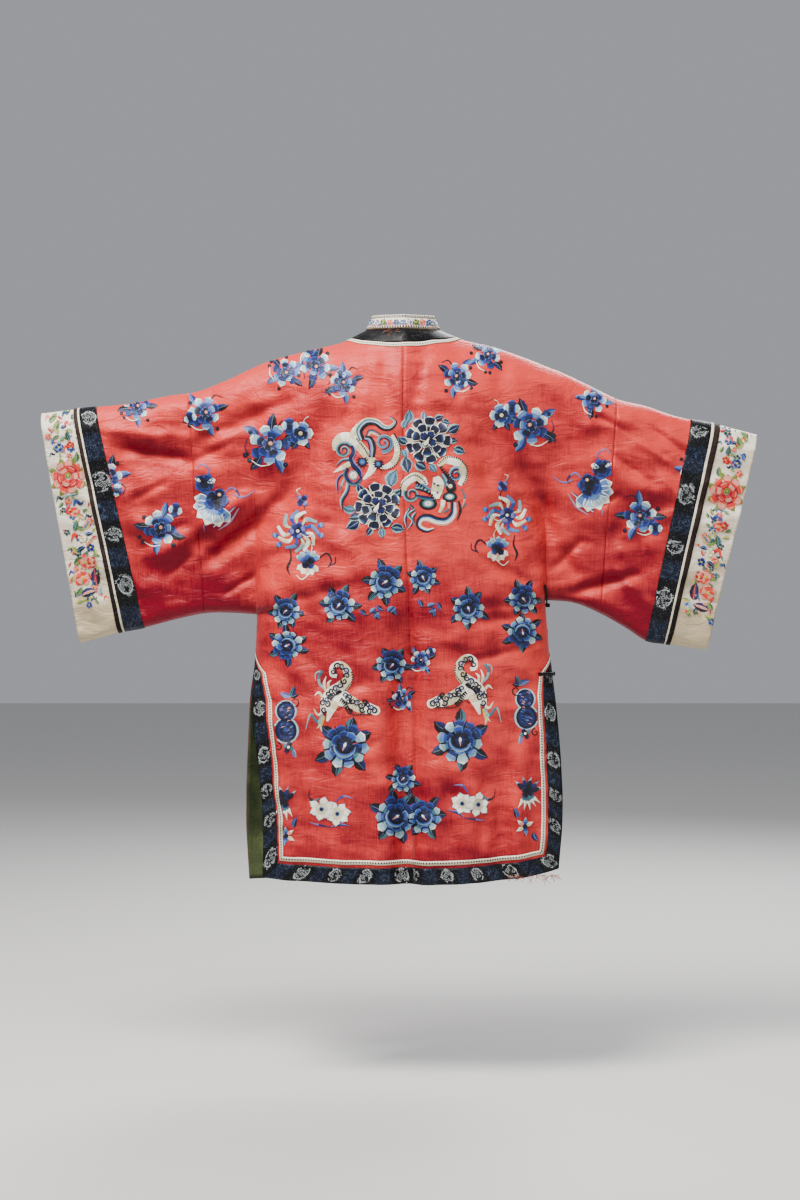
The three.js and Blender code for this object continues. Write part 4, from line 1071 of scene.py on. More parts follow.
def strap_piece(name, middle, outward):
    """A doubled cord along a line, sewn down with the two cords side by side."""
    middle, outward = np.array(middle), np.array(outward)
    along = np.gradient(middle, axis=0)
    aside = np.cross(along, outward)
    aside /= np.linalg.norm(aside, axis=1)[:, None]
    lines = [middle + outward * 3.2 + aside * 1.55 * s for s in (-1, 1)]
    piece = mesh_of(name, [tube_along(line, 1.5) for line in lines], [black_cord])
    return sewn(piece, "black_cord", name)


def knot_piece(name, centre, outward):
    """A cord wound three times round a ball, over and under itself."""
    t = np.linspace(0, 2 * math.pi, 120)
    turn, rise = 2 * t, 0.95 * np.sin(3 * t)
    radius = 3.6 + 0.5 * np.cos(6 * t + 0.5)
    ball = np.stack([np.cos(turn) * np.cos(rise), np.sin(turn) * np.cos(rise), np.sin(rise)], -1)
    line = np.array(centre) + np.array(outward) * 5.6 + ball * radius[:, None]
    core = np.array(centre) + np.array(outward) * 5.6
    a, b = np.meshgrid(np.linspace(0, 2 * math.pi, 17), np.linspace(0.001, math.pi - 0.001, 10),
                       indexing="ij")
    round_core = core + 3.5 * np.stack([np.cos(a) * np.sin(b), np.sin(a) * np.sin(b), np.cos(b)], -1)
    sheets = [tube_along(line, 1.25), (round_core, np.stack([a, b], -1), True, 0)]
    return sewn(mesh_of(name, sheets, [black_cord]), "black_cord", name)


def on_cloth(turn, z):
    """Points on the outermost cloth round the right half, and the directions outward there."""
    points, ways = [], []
    for place, pole in zip(around_right(turn, z), around_right(turn, z) * (1, 1, 0)):
        start = Vector(place)
        found, normal, _, _ = outer_tree.find_nearest(start)
        outward = Vector(pole).normalized()
        normal = normal if normal.dot(outward) > 0 else -normal
        bridged = (found - start).length > 2.5
        points.append(start if bridged else found)
        ways.append(outward if bridged else normal)
    return np.array(points, float), np.array(ways, float)


for name, stops in FASTENINGS.items():
    turns, heights = np.array(stops, float).T
    if name.endswith("knot"):
        points, ways = on_cloth(turns, heights)
        knot_piece(name, points[0], ways[0])
    else:
        share = np.linspace(0, len(stops) - 1, 8 * len(stops))
        turns = np.interp(share, range(len(stops)), turns)
        heights = np.interp(share, range(len(stops)), heights)
        points, ways = on_cloth(turns, heights)
        strap_piece(name, points, ways)

for name, turns in (("collar_strap", (0.9, 0.9905)), ("collar_loop", (0.0095, 0.1))):
    turns = np.linspace(*turns, 14)
    points = collar_at(turns, np.full(14, 0.5))
    strap_piece(name, points, points * (1, 1, 0) / np.linalg.norm(points * (1, 1, 0), axis=1)[:, None])
collar_front = collar_at(np.array([0.0, 1.0]), np.array([0.5, 0.5])).mean(0)
knot_piece("collar_knot", collar_front, (0, -1, 0))

# %% [markdown]
# ## Loose threads
# Where the hem has worn on the right and where the neck strip has come loose, threads hang out.

# %% Loose threads at the hem and the neck
chance = np.random.default_rng(7)


def loose_threads():
    tubes = []
    for _ in range(46):
        out, reach = chance.uniform(0.55, 1), chance.uniform(3, 11)
        start = body_at(RIGHT, FACES["back"], np.array([out]), np.array([-1018.0 + 10 * (1 - out)]))[0]
        ways = chance.normal(0, 1, (5, 3)) * (3, 1, 1.2) + (0, 0.6, -reach / 4)
        line = start + np.concatenate([[(0, 1, 0)], np.cumsum(ways, 0)])
        line[:, 2] = np.maximum(line[:, 2], -1038)
        tubes.append(tube_along(line, 0.35, 4))
    for _ in range(12):
        start = np.array(neckline(math.radians(chance.uniform(2, 30))), float)
        ways = chance.normal(0, 1, (6, 3)) * (4, 0.4, 3) + (0, 0.9, -1.4)
        tubes.append(tube_along(start + (0, 5, -8) + np.cumsum(ways, 0), 0.4, 4))
    piece = mesh_of("loose_threads", tubes, [rust_thread])
    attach(piece, "root")
    MADE["loose_threads"] = piece


loose_threads()

# %% [markdown]
# ## Embroidery
# The flowers are worked in satin stitch: flat shapes filled with floss silk, shaded in bands from
# dark to pale. Each shape is a small crowned patch with its own colours, one for each few stitches.
# Shapes are drawn flat in millimetres, then laid on the cloth along lines of sight from behind, or
# from in front, so a motif keeps its form where the cloth folds.

# %% Colours of the floss
FLOSS = {
    "ink": "100f17", "night": "131833", "navy": "1f2b63", "cobalt": "33519c", "sky": "6484b4",
    "ice": "a5c2d0", "snow": "f2ebdb", "bone": "d2c8a6", "teal": "44707c", "mist": "8aa7ac",
    "lilac": "7d76ad", "rose": "dd9a88", "coral": "dc4a3c", "crimson": "ad2430", "leaf": "7d963f",
    "olive": "48663a", "straw": "c9b45c", "pink": "e39a93",
}


def linear(code):
    values = np.array([int(code[i:i + 2], 16) / 255 for i in (0, 2, 4)])
    return np.where(values <= 0.04045, values / 12.92, ((values + 0.055) / 1.055) ** 2.4)


FLOSS = {name: linear(code) for name, code in FLOSS.items()}


# %% Where a motif goes
class Place:
    """The middle of a motif on a panel, its size, its turn in degrees and whether it is flipped."""

    def __init__(self, x, z, size=1.0, turn=0.0, flip=1, sheet=None, lift=0.0):
        self.x, self.z, self.size, self.turn, self.flip = x, z, size, turn, flip
        self.sheet, self.lift = sheet, lift

    def of(self, points):
        """Points drawn to the right and up, as x to the right and z on the panel."""
        points = np.asarray(points, float)
        turn = math.radians(self.turn)
        u, v = points[..., 0] * self.flip * self.size, points[..., 1] * self.size
        right = u * math.cos(turn) + v * math.sin(turn)
        up = v * math.cos(turn) - u * math.sin(turn)
        return np.stack([self.x + right, self.z + up], -1)

    def at(self, u, v, size=1.0, turn=0.0, flip=1, lift=0.0):
        """A place within this one, turned with it."""
        x, z = self.of((u, v))
        turned = self.turn + turn * self.flip
        return Place(x, z, self.size * size, turned, self.flip * flip, self.sheet, self.lift + lift)


# %% Stitched shapes
def stitched(place, points, height, tones, along):
    """Adds a patch of stitches to a panel. Tones has a colour for each of its faces."""
    shade = 1 + chance.normal(0, 0.07, tones.shape[:2])[..., None]
    place.sheet.append((place.of(points), height + place.lift, np.clip(tones * shade, 0, 1), along))


def band(names, count):
    """Names of floss spread evenly over a count of faces, as colours."""
    names = names.split()
    pick = np.minimum((np.arange(count) + 0.5) / count * len(names), len(names) - 1).astype(int)
    return np.array([FLOSS[names[i]] for i in pick])


def stroke(place, line, widths, along=None, across=None, lift=0.4, crown=0.5, step=2.4):
    """A shape along a smooth line. It is shaded along the line or across it."""
    line = np.array(line, float)
    length = np.linalg.norm(np.diff(line, axis=0), axis=1).sum()
    s = np.linspace(0, 1, int(np.clip(length / step, 3, 44)) + 1)
    stops = s * (len(line) - 1)
    centre = np.stack([through(range(len(line)), line[:, k], stops) for k in (0, 1)], -1)
    ahead = np.gradient(centre, axis=0)
    ahead /= np.linalg.norm(ahead, axis=1)[:, None] + 1e-9
    left = np.stack([-ahead[:, 1], ahead[:, 0]], -1)
    half = np.interp(s, np.linspace(0, 1, len(widths)), widths) / 2
    shades = len((across or "").split())
    parts = max(shades, 2) if max(widths) < 5 else max(2 * shades, 4)
    w = np.linspace(-1, 1, parts + 1)
    points = centre[:, None] + left[:, None] * (half[:, None] * w)[..., None]
    height = lift + crown * np.sqrt(1 - 0.98 * w**2) * np.ones((len(s), 1))
    if across:
        tones = np.broadcast_to(band(across, parts)[None], (len(s) - 1, parts, 3))
    else:
        tones = np.broadcast_to(band(along, len(s) - 1)[:, None], (len(s) - 1, parts, 3))
    uv = np.stack([np.broadcast_to(s[:, None] * length, points.shape[:2]), half[:, None] * w], -1)
    stitched(place, points, height, tones, uv[..., ::-1] if across else uv)


PETAL_LENGTH = np.array([0, 0.2, 0.4, 0.6, 0.76, 0.88, 1])
PETAL_WIDTH = np.array([-1, -0.84, -0.5, 0, 0.5, 0.84, 1])


def petal(place, turn, start, length, width, tones, rim=None, lift=0.4, crown=0.7, round_tip=0.14):
    """A petal that points away from the middle, from its dark base to its pale tip."""
    s, w = PETAL_LENGTH[:, None], PETAL_WIDTH[None, :]
    half = np.interp(PETAL_LENGTH, [0, 0.2, 0.45, 0.66, 0.85, 0.94, 1],
                     [0.42, 0.66, 0.9, 1, 0.9, 0.7, 0.44])[:, None]
    side = w * half * width / 2
    out = start + length * s * (1 - round_tip * w**2 * s**2)
    angle = math.radians(turn)
    points = np.stack([side * math.cos(angle) + out * math.sin(angle),
                       out * math.cos(angle) - side * math.sin(angle)], -1)
    rows, columns = len(PETAL_LENGTH) - 1, len(PETAL_WIDTH) - 1
    colours = np.repeat(band(tones, rows)[:, None], columns, 1).copy()
    if rim:
        colours[:, [0, -1]] = colours[-1:] = FLOSS[rim]
    height = lift + crown * np.sqrt(1 - 0.9 * w**2) * np.sin(math.pi * (0.12 + 0.8 * s)) ** 0.5
    if rim:
        height += 0.55 * np.maximum((np.abs(w) > 0.8) * (s > 0.3), s > 0.85)
    stitched(place, points, height, colours, np.stack([side + 0 * out, out + 0 * side], -1))


def ring(place, count, start, length, width, tones, turn=0.0, rim=None, lift=0.4, uneven=0.08, **more):
    """Petals all round. Tones is words of floss, or a list of such words that petals take in turn."""
    for i in range(count):
        shade = tones if isinstance(tones, str) else tones[i % len(tones)]
        vary = 1 + chance.uniform(-uneven, uneven)
        angle = turn + 360 * (i + chance.uniform(-uneven, uneven)) / count
        petal(place, angle, start, length * vary, width, shade, rim, lift, **more)


def leaf(place, turn, start, length, width, tones="night navy cobalt", vein="mist", lobes=True):
    """A leaf with a toothed edge, darker on one side of its pale vein."""
    angle = math.radians(turn)
    out = np.array([math.sin(angle), math.cos(angle)])
    aside = np.array([out[1], -out[0]])
    bend = chance.uniform(-0.12, 0.12) * length
    line = [out * start, out * (start + length * 0.5) + aside * bend, out * (start + length)]
    teeth = [0.15, 0.7, 0.85, 1, 0.8, 0.75, 0.35, 0.08] if lobes else [0.1, 0.6, 1, 0.9, 0.5, 0.05]
    stroke(place, line, [width * t for t in teeth], across=tones, lift=0.35, step=1.8)
    if vein:
        stroke(place, [line[0], line[1], 0.25 * line[1] + 0.75 * line[2]], [0.7, 0.4], vein, lift=0.85,
               crown=0.2)


def disc(place, radius, tones, lift=0.5, crown=0.6, tall=1.0):
    """A round shape, shaded from its middle outward."""
    turn = np.linspace(0, 2 * math.pi, 17)
    share = np.linspace(0.02, 1, max(len(tones.split()), 3) + 1)
    rings = radius * share[:, None]
    points = np.stack([rings * np.sin(turn), rings * np.cos(turn) * tall], -1)
    colours = np.repeat(band(tones, len(share) - 1)[:, None], 16, 1)
    height = lift + crown * np.sqrt(1 - 0.95 * share[:, None] ** 2) * np.ones((1, 17))
    stitched(place, points, height, colours, points)


def scroll(place, radius, turns, across, width, start=0.0, inner=0.18, way=1, lift=0.5, taper=0.45):
    """A spiral that curls in to its middle."""
    t = np.linspace(0, 1, int(12 * turns) + 2)
    angle = np.radians(start) + way * 2 * math.pi * turns * t
    r = radius * (1 - (1 - inner) * t)
    line = np.stack([r * np.sin(angle), r * np.cos(angle)], -1)
    stroke(place, line, [width, width * (1 + taper) / 2, width * taper], across=across, lift=lift, step=1.6)


def sized(r, *pairs):
    """Points of a line that is drawn for a motif of radius one, at the motif's own size."""
    return [(u * r, v * r) for u, v in pairs]


def bold(place, line, widths, *more, **other):
    """A stroke laid with a thicker floss."""
    stroke(place, line, [1.28 * w for w in widths], *more, **other)


def beads(place, line, spacing, radius, tone, lift=0.9):
    """Small round knots along a line."""
    line = np.array(line, float)
    s = np.linspace(0, 1, 80) * (len(line) - 1)
    fine = np.stack([through(range(len(line)), line[:, k], s) for k in (0, 1)], -1)
    gone = np.concatenate([[0], np.cumsum(np.linalg.norm(np.diff(fine, axis=0), axis=1))])
    for d in np.arange(0, gone[-1], spacing):
        u, v = np.interp(d, gone, fine[:, 0]), np.interp(d, gone, fine[:, 1])
        square = np.array([[(-1, -1), (-1, 1)], [(1, -1), (1, 1)]], float) * radius + (u, v)
        tones = np.broadcast_to(FLOSS[tone], (1, 1, 3))
        stitched(place, square, np.full((2, 2), lift), tones, square)


def spikes(place, line, count, length, width, tone, side=1, lift=0.7):
    """A row of pointed teeth on one side of a line."""
    line = np.array(line, float)
    s = np.linspace(0.04, 0.96, count) * (len(line) - 1)
    u, v = (through(range(len(line)), line[:, k], s) for k in (0, 1))
    du, dv = np.gradient(u), np.gradient(v)
    size = np.hypot(du, dv)
    for a, b, p, q in zip(u, v, -dv / size * side, du / size * side):
        tip = (a + p * length, b + q * length)
        stroke(place, [(a, b), tip], [width, width * 0.6, 0.2], tone, lift=lift, crown=0.3, step=1.5)


# %% [markdown]
# ## Motifs
# The motifs are the usual ones for such a jacket: peonies, orchids, chrysanthemums, double gourds,
# lotus, and small lions with flames. Every one is put together from petals, leaves, scrolls and
# strokes, with a size, and with chance in its small differences.

# %% Flowers
PALE, COOL = "sky ice snow", "cobalt sky ice"
DEEP, DARK = "night navy cobalt", "ink night navy"


def garden_peony(place, r, turn=0.0, leaves=6):
    """A full peony: round pale petals with dark gaps, a blue cup and a dark heart with a pale drop."""
    for i in range(leaves):
        angle = turn + 25 + 360 * (i + chance.uniform(-0.2, 0.2)) / max(leaves, 1)
        shade = "ink night navy" if i % 3 else "ink night teal"
        leaf(place, angle, r * 0.68, r * chance.uniform(0.5, 0.72), r * 0.48, shade)
    disc(place, r * 0.72, "ink ink night", lift=0.3, crown=0.2)
    shades = ["teal mist ice", "navy sky ice", "mist ice snow", "cobalt sky mist"]
    for i in range(10):
        angle = turn + 36 * (i + chance.uniform(-0.14, 0.14))
        dark = i in (0, 1, 9)
        tones = "night navy cobalt" if dark else shades[i % 4]
        petal(place, angle, r * 0.48, r * chance.uniform(0.38, 0.52), r * 0.46, tones,
              "cobalt" if dark else None, 0.5)
        a = math.radians(angle + 18)
        gap = [(r * k * math.sin(a), r * k * math.cos(a)) for k in (0.5, 0.9)]
        stroke(place, gap, [0.4, 0.08 * r, 0.07 * r, 0.5], "ink", lift=1.2, crown=0.2)
    inner = ["night navy cobalt", "navy cobalt sky", "night navy navy"]
    for i in range(7):
        angle, length = turn + 51 * i + chance.uniform(-14, 14), r * chance.uniform(0.3, 0.44)
        petal(place, angle, r * 0.24, length, r * 0.42, inner[i % 3], "sky" if i % 2 else "cobalt",
              0.9 + 0.1 * (i % 2))
    cup = [(0.42 * r * math.sin(a), 0.4 * r * math.cos(a))
           for a in np.radians(turn + np.linspace(105, 290, 7))]
    stroke(place, cup, [0.06 * r, 0.12 * r, 0.16 * r, 0.12 * r, 0.06 * r], across="cobalt sky mist", lift=1.6)
    disc(place, r * 0.33, "night navy night ink", lift=1.5, crown=0.4)
    stroke(place, [(k * r, 0.06 * r - 0.3 * k * r) for k in (-0.3, 0, 0.3)], [0.4, 0.8, 0.4], "cobalt",
           lift=2.1, crown=0.1)
    a = math.radians(turn)
    drop = [(k * r * math.sin(a + 0.6), k * r * math.cos(a + 0.6)) for k in (-0.22, 0, 0.16)]
    stroke(place, drop, [0.6, 0.07 * r, 0.14 * r, 0.5], "pink snow", lift=2.3, crown=0.2)


def ringed_peony(place, r, turn=0.0):
    """A flat peony of broad dark petals, each edged with a pale cord."""
    tones = ["mist night night navy", "night night navy teal"]
    disc(place, r * 0.84, "night ink bone", lift=0.3, crown=0.2)
    ring(place, 9, r * 0.56, r * 0.44, r * 0.53, tones, turn, "snow", 0.5)
    ring(place, 7, r * 0.3, r * 0.42, r * 0.46, tones, turn + 22, "snow", 1.0)
    for angle in (-62, 22, 118):
        petal(place.at(0.02 * r, 0.03 * r), turn + angle, 0, r * 0.44, r * 0.42, "night navy night", "snow",
              1.5, round_tip=0.3)
    petal(place, turn + 200, r * 0.02, r * 0.36, r * 0.3, "night night mist", "snow", 1.5, round_tip=0.3)
    stroke(place, sized(r, (0.06, 0.14), (-0.06, -0.1), (-0.16, -0.2)), [0.5, 0.17 * r, 0.1 * r], "snow",
           lift=2.6, crown=0.2)
    for i in range(7):
        a = math.radians(turn + 51 * i + chance.uniform(-12, 12))
        line = [(r * k * math.sin(a), r * k * math.cos(a)) for k in (0.7, 0.92)]
        stroke(place, line, [0.5, 0.06 * r, 0.8], "ink", lift=1.9, crown=0.1)


def rose_bloom(place, r, turn=0.0, heart="rose"):
    """A small flower, pale below and dark above, with a small pale heart."""
    ring(place, 7, r * 0.42, r * 0.56, r * 0.56, [PALE, COOL, DEEP, "mist ice snow"], turn + 135, lift=0.45,
         uneven=0.14)
    ring(place, 5, r * 0.2, r * 0.46, r * 0.5, [DARK, DEEP, COOL], turn - 60, "cobalt", 0.7, uneven=0.14)
    ring(place, 4, 0, r * 0.36, r * 0.38, [DARK, DEEP], turn + 20, "sky", 1.0)
    disc(place.at(0.05 * r, 0.05 * r), r * 0.1, heart, lift=1.6, crown=0.3)


def spray(place, r, buds=4, turn=0.0):
    """A bloom with leaves, a small second bloom, dark berries and a white stalk."""
    for i in range(buds):
        angle = turn + 80 + 360 * (i + chance.uniform(-0.2, 0.2)) / buds
        leaf(place, angle, r * 0.65, r * 0.85, r * 0.46, "navy cobalt sky" if i % 2 else "ink night navy")
    rose_bloom(place, r, turn)
    small = place.at(0.95 * r * math.cos(turn), 0.8 * r * math.sin(turn + 1) + 0.2 * r)
    ring(small, 4, 0, r * 0.42, r * 0.44, [DEEP, "cobalt ice snow"], turn, lift=0.8)
    disc(small, r * 0.12, "night", lift=1.5)
    for u, v in ((-0.95, -0.75), (0.75, -0.95), (-0.9, 0.6), (-1.15, -0.5)):
        disc(place.at(u * r, v * r), r * 0.12, "navy ink", lift=0.6)
    stroke(place, sized(r, (-0.95, -0.7), (-0.45, -1), (0.05, -0.95)), [0.8, 2.4, 1.2], "snow", lift=0.7)
    stroke(place, sized(r, (0.3, 0.7), (0.6, 1.1), (1.05, 0.95)), [2.4, 1.8, 0.8], "ink night", lift=0.6)


def double_spray(place, r):
    """Two flowers side by side, one large and one small, on one stalk."""
    spray(place.at(-0.32 * r, -0.1 * r), r * 0.8, 5)
    second = place.at(0.85 * r, 0.32 * r)
    for angle in (150, 210, 250):
        leaf(second, angle, r * 0.2, r * 0.5, r * 0.26, "ink night navy")
    ring(second, 5, r * 0.1, r * 0.38, r * 0.42, [COOL, PALE, PALE, DEEP], 20, lift=0.6)
    ring(second, 4, 0, r * 0.3, r * 0.36, [DEEP, DARK], 15, "sky", 0.9)
    disc(second, r * 0.08, "bone", lift=1.7)
    stroke(place, sized(r, (0.9, 0.5), (1, 0.85), (1.15, 0.95)), [0.8, 1.2, 1.6], "snow", lift=0.8)
    stroke(place, sized(r, (-1.1, -0.5), (-1.25, -0.2), (-1.15, 0.15)), [3, 2.2, 1], "night navy", lift=0.6)


def lily(place, r):
    """A flower seen from the side, with a bud above and long curling tendrils."""
    lower = place.at(0.02 * r, -0.2 * r)
    for angle, shade in ((-95, COOL), (-125, PALE), (-155, PALE), (170, PALE), (140, COOL), (-70, COOL)):
        petal(lower, angle, r * 0.1, r * 0.56, r * 0.36, shade, "snow", 0.5)
    ring(lower.at(0.05 * r, 0.14 * r), 5, 0, r * 0.36, r * 0.34, [DARK, DEEP], 20, "cobalt", 1.1)
    disc(lower.at(0.12 * r, 0.3 * r), r * 0.07, "snow rose", lift=1.4)
    bud = place.at(-0.3 * r, 0.42 * r)
    ring(bud, 5, 0, r * 0.32, r * 0.3, [DEEP, DARK, DEEP], 30, "cobalt", 0.6)
    petal(bud, 70, r * 0.1, r * 0.25, r * 0.18, "ice snow snow", lift=0.8)
    petal(bud, -60, r * 0.12, r * 0.2, r * 0.14, "ice snow snow", lift=0.8)
    curl = "lilac navy"
    bold(place, sized(r, (-0.2, 0.6), (-0.18, 0.85), (-0.4, 1), (-0.55, 0.85)), [2.2, 1.8, 0.8], "cobalt sky")
    bold(place, sized(r, (0.25, 0.1), (0.5, 0.3), (0.72, 0.12), (0.66, -0.02)), [1.6, 3.2, 1.0], curl)
    bold(place, sized(r, (0.55, 0.1), (0.85, 0.02), (1.2, 0.22)), [1.4, 2.6, 0.5], "sky lilac")
    bold(place, sized(r, (-0.05, -0.85), (0.2, -0.62), (0.62, -0.25)), [3, 9, 1],
         across="sky snow night cobalt")
    bold(place, sized(r, (0.1, -0.95), (0.45, -0.7), (0.72, -0.3)), [1, 4.5, 1], across="lilac rose sky")
    bold(place, sized(r, (-0.1, -0.72), (-0.3, -0.8), (-0.3, -0.98)), [2.2, 1.6, 0.5], "teal sky")


def chrysanthemum(place, r):
    """Thin petals in ivory and blue that curl round a dark heart."""
    for i in range(11):
        angle = 360 * i / 11 + chance.uniform(-7, 7)
        tone = ("bone snow", "bone mist", "cobalt sky", "snow bone")[i % 4]
        a, b = math.radians(angle), math.radians(angle + 28)
        line = [(0.25 * r * math.sin(a), 0.25 * r * math.cos(a)),
                (0.62 * r * math.sin(a), 0.62 * r * math.cos(a)),
                (0.9 * r * math.sin(b), 0.9 * r * math.cos(b))]
        stroke(place, line, [1.8, 0.2 * r, 0.12 * r], tone, lift=0.45)
        if i % 2:
            stroke(place, [(0.2 * r * math.sin(b), 0.2 * r * math.cos(b)), line[1]], [2.0, 1.0], "ink",
                   lift=0.4)
    ring(place, 7, 0, r * 0.4, r * 0.26, [DEEP, "navy lilac cobalt"], 10, lift=0.9)
    disc(place, r * 0.07, "snow", lift=1.6)
    stroke(place, sized(r, (0.1, -0.1), (0.4, -0.25), (0.68, -0.1)), [0.9, 1.8, 1.0], "snow", lift=1.4)
    stroke(place, sized(r, (0.12, 0.5), (0.3, 0.9), (0.12, 1.3)), [2.2, 1.8, 1.0], "ink")
    ring(place.at(0.18 * r, 1.32 * r), 4, 0, r * 0.3, r * 0.24, [DEEP, "navy lilac cobalt"], 40, lift=0.6)
    stroke(place, sized(r, (0.1, 1.5), (-0.06, 1.75), (0.12, 1.86)), [1.0, 2.2, 0.8], "mist snow")
    for angle in (-100, -125, 75, 100):
        petal(place, angle, r * 0.85, r * 0.3, r * 0.24, "cobalt sky teal", lift=0.5)


def curling_bloom(place, r):
    """A spread flower with white lower petals, a dark heart and black curls at its ends."""
    for i, angle in enumerate((-150, -175, 160, 130, -120)):
        petal(place, angle, r * 0.12, r * 0.42, r * 0.28, ["bone snow snow", "rose bone snow"][i % 2],
              lift=0.6)
    for i, angle in enumerate((-60, -35, -5, 30, 58)):
        petal(place, angle, r * 0.15, r * 0.42, r * 0.24, [COOL, "teal mist ice"][i % 2], lift=0.5)
    ring(place, 4, 0, r * 0.32, r * 0.3, [DARK, DEEP], 45, lift=0.9)
    stroke(place, sized(r, (0.1, 0.35), (0.16, 0.65), (0.06, 0.85)), [0.8, 1.8, 1.2], "snow bone", lift=0.9)
    stroke(place, sized(r, (0.4, 0.15), (0.75, 0.4), (0.95, 0.1), (0.8, -0.18)), [1.6, 3.4, 3.4, 1.2],
           "ink night")
    stroke(place, sized(r, (0.85, -0.1), (1.1, 0.0), (1.12, 0.25)), [3.0, 2.0, 1.6], "night ink")
    stroke(place, sized(r, (-0.75, 0.6), (-0.7, 0.2), (-0.85, -0.2), (-0.75, -0.5)), [1.4, 3.4, 4.6, 1.2],
           "ink ink")
    stroke(place, sized(r, (-0.5, -0.5), (-0.25, -0.68), (0.05, -0.45)), [0.9, 2.4, 1.4], "snow", lift=0.8)


def orchid(place, r):
    """Two white orchids with slim blue leaves."""
    stroke(place, sized(r, (-0.9, 0.95), (-0.95, 0.6), (-0.75, 0.42), (-0.5, 0.5)), [0.7, 1.8, 5, 3],
           "ink night teal")
    stroke(place, sized(r, (0.2, 0.4), (0.55, 0.62), (0.95, 0.5)), [1.2, 4.6, 0.6], "cobalt lilac")
    stroke(place, sized(r, (-0.95, -0.5), (-0.5, -0.62), (0.0, -0.72)), [0.6, 4.2, 1.2], "lilac navy")
    stroke(place, sized(r, (0.0, -0.72), (0.35, -0.6), (0.8, -0.66)), [1.4, 6.0, 0.8],
           across="navy cobalt lilac")
    white = "bone snow snow"
    for u, v, count, turn in ((-0.4, 0.06, 6, 10), (0.28, -0.14, 7, 30)):
        disc(place.at(u * r, v * r), r * 0.24, "ink", lift=0.4)
        for i in range(count):
            angle = turn + 360 * (i + chance.uniform(-0.15, 0.15)) / count
            petal(place.at(u * r, v * r), angle, r * 0.06, r * chance.uniform(0.42, 0.56), r * 0.36, white,
                  "ice", 0.6, round_tip=0.24)
        disc(place.at(u * r, v * r), r * 0.11, "ink night sky", lift=1.3)


def gourds(place, r):
    """A double gourd, mottled navy with a pale rim, with small leaves and curls."""
    lobes = ((0.86, 0.94), (-0.8, 1.12))
    for v, size in lobes:
        disc(place.at(0, v * r), r * size, "ice snow ice", lift=0.4, tall=1.02)
    for v, size in lobes:
        disc(place.at(0, v * r), r * size * 0.84, "navy night navy night", lift=0.9, tall=1.1)
    for i in range(40):
        u, v = chance.uniform(-0.6, 0.45), chance.uniform(-1.55, 1.45)
        tone = ("cobalt", "sky", "ink", "lilac", "cobalt", "rose")[i % 6]
        line = [(u * r, v * r), ((u + 0.1) * r, (v + 0.12) * r), ((u + 0.26) * r, (v + 0.1) * r)]
        stroke(place, line, [0.6, 1.8, 0.6], tone, lift=1.5, crown=0.15)
    foot = place.at(0.2 * r, -2.25 * r)
    ring(foot, 4, 0.5, r * 0.5, r * 0.42, [DARK, "night teal teal"], 20, lift=0.5)
    disc(foot, r * 0.12, "snow", lift=1.1)
    scroll(place.at(-0.7 * r, -2.2 * r), r * 0.36, 1.2, "ink", 2.2)
    leaf(place, 165, r * 2.5, r * 0.8, r * 0.4, "lilac cobalt mist")
    top = place.at(0.4 * r, 2.1 * r)
    leaf(top, -70, 0, r, r * 0.5, "cobalt lilac sky")
    leaf(top, 20, 0, r, r * 0.52, "navy night teal")
    leaf(top, 75, 0, r * 0.7, r * 0.42, "ink night navy")
    scroll(top.at(0.35 * r, -0.45 * r), r * 0.45, 1.1, "ink", 2.2, start=200, way=-1)


def lotus(place, r):
    """A lotus whose long white petals fall, with dark ones above and a bud below."""
    for angle in (150, 170, 190, 212, 232):
        petal(place, angle, r * 0.1, r * chance.uniform(0.7, 0.85), r * 0.2, "teal snow snow", lift=0.5,
              round_tip=0.8)
    for i, angle in enumerate((-70, -45, -15, 15, 45)):
        petal(place, angle, r * 0.1, r * 0.7, r * 0.26, ["ink night ice", "night navy mist"][i % 2],
              lift=0.6, round_tip=0.7)
    ring(place, 3, 0, r * 0.3, r * 0.3, [DARK], 30, lift=0.9)
    bud = place.at(0.1 * r, -1.6 * r)
    for i, angle in enumerate((-60, -5, 50, 120, 190)):
        petal(bud, angle, r * 0.05, r * 0.42, r * 0.22, ["bone snow", COOL, "rose snow"][i % 3], lift=0.5,
              round_tip=0.7)
    disc(bud, r * 0.12, "night", lift=1.0)
    leaf(place.at(0.45 * r, -1.2 * r), 20, 0, r * 0.5, r * 0.26, "night navy cobalt")
    leaf(place.at(-0.3 * r, -1.9 * r), -150, 0, r * 0.45, r * 0.28, "navy cobalt night")


def leaves_row(place, width, count):
    """A run of small blue leaves on a stalk."""
    for i in range(count):
        u = (i + 0.5) / count * width - width / 2
        leaf(place.at(u, 3 * math.sin(i * 2.1)), (-40, 60, 150, -120)[i % 4], 0.5, width / count * 1.7, 9.5,
             [DEEP, "navy cobalt sky"][i % 2])
    stroke(place, [(-width / 2, -2), (0, 2), (width / 2, -3)], [1.2, 1.6, 0.8], "night navy", lift=0.3)


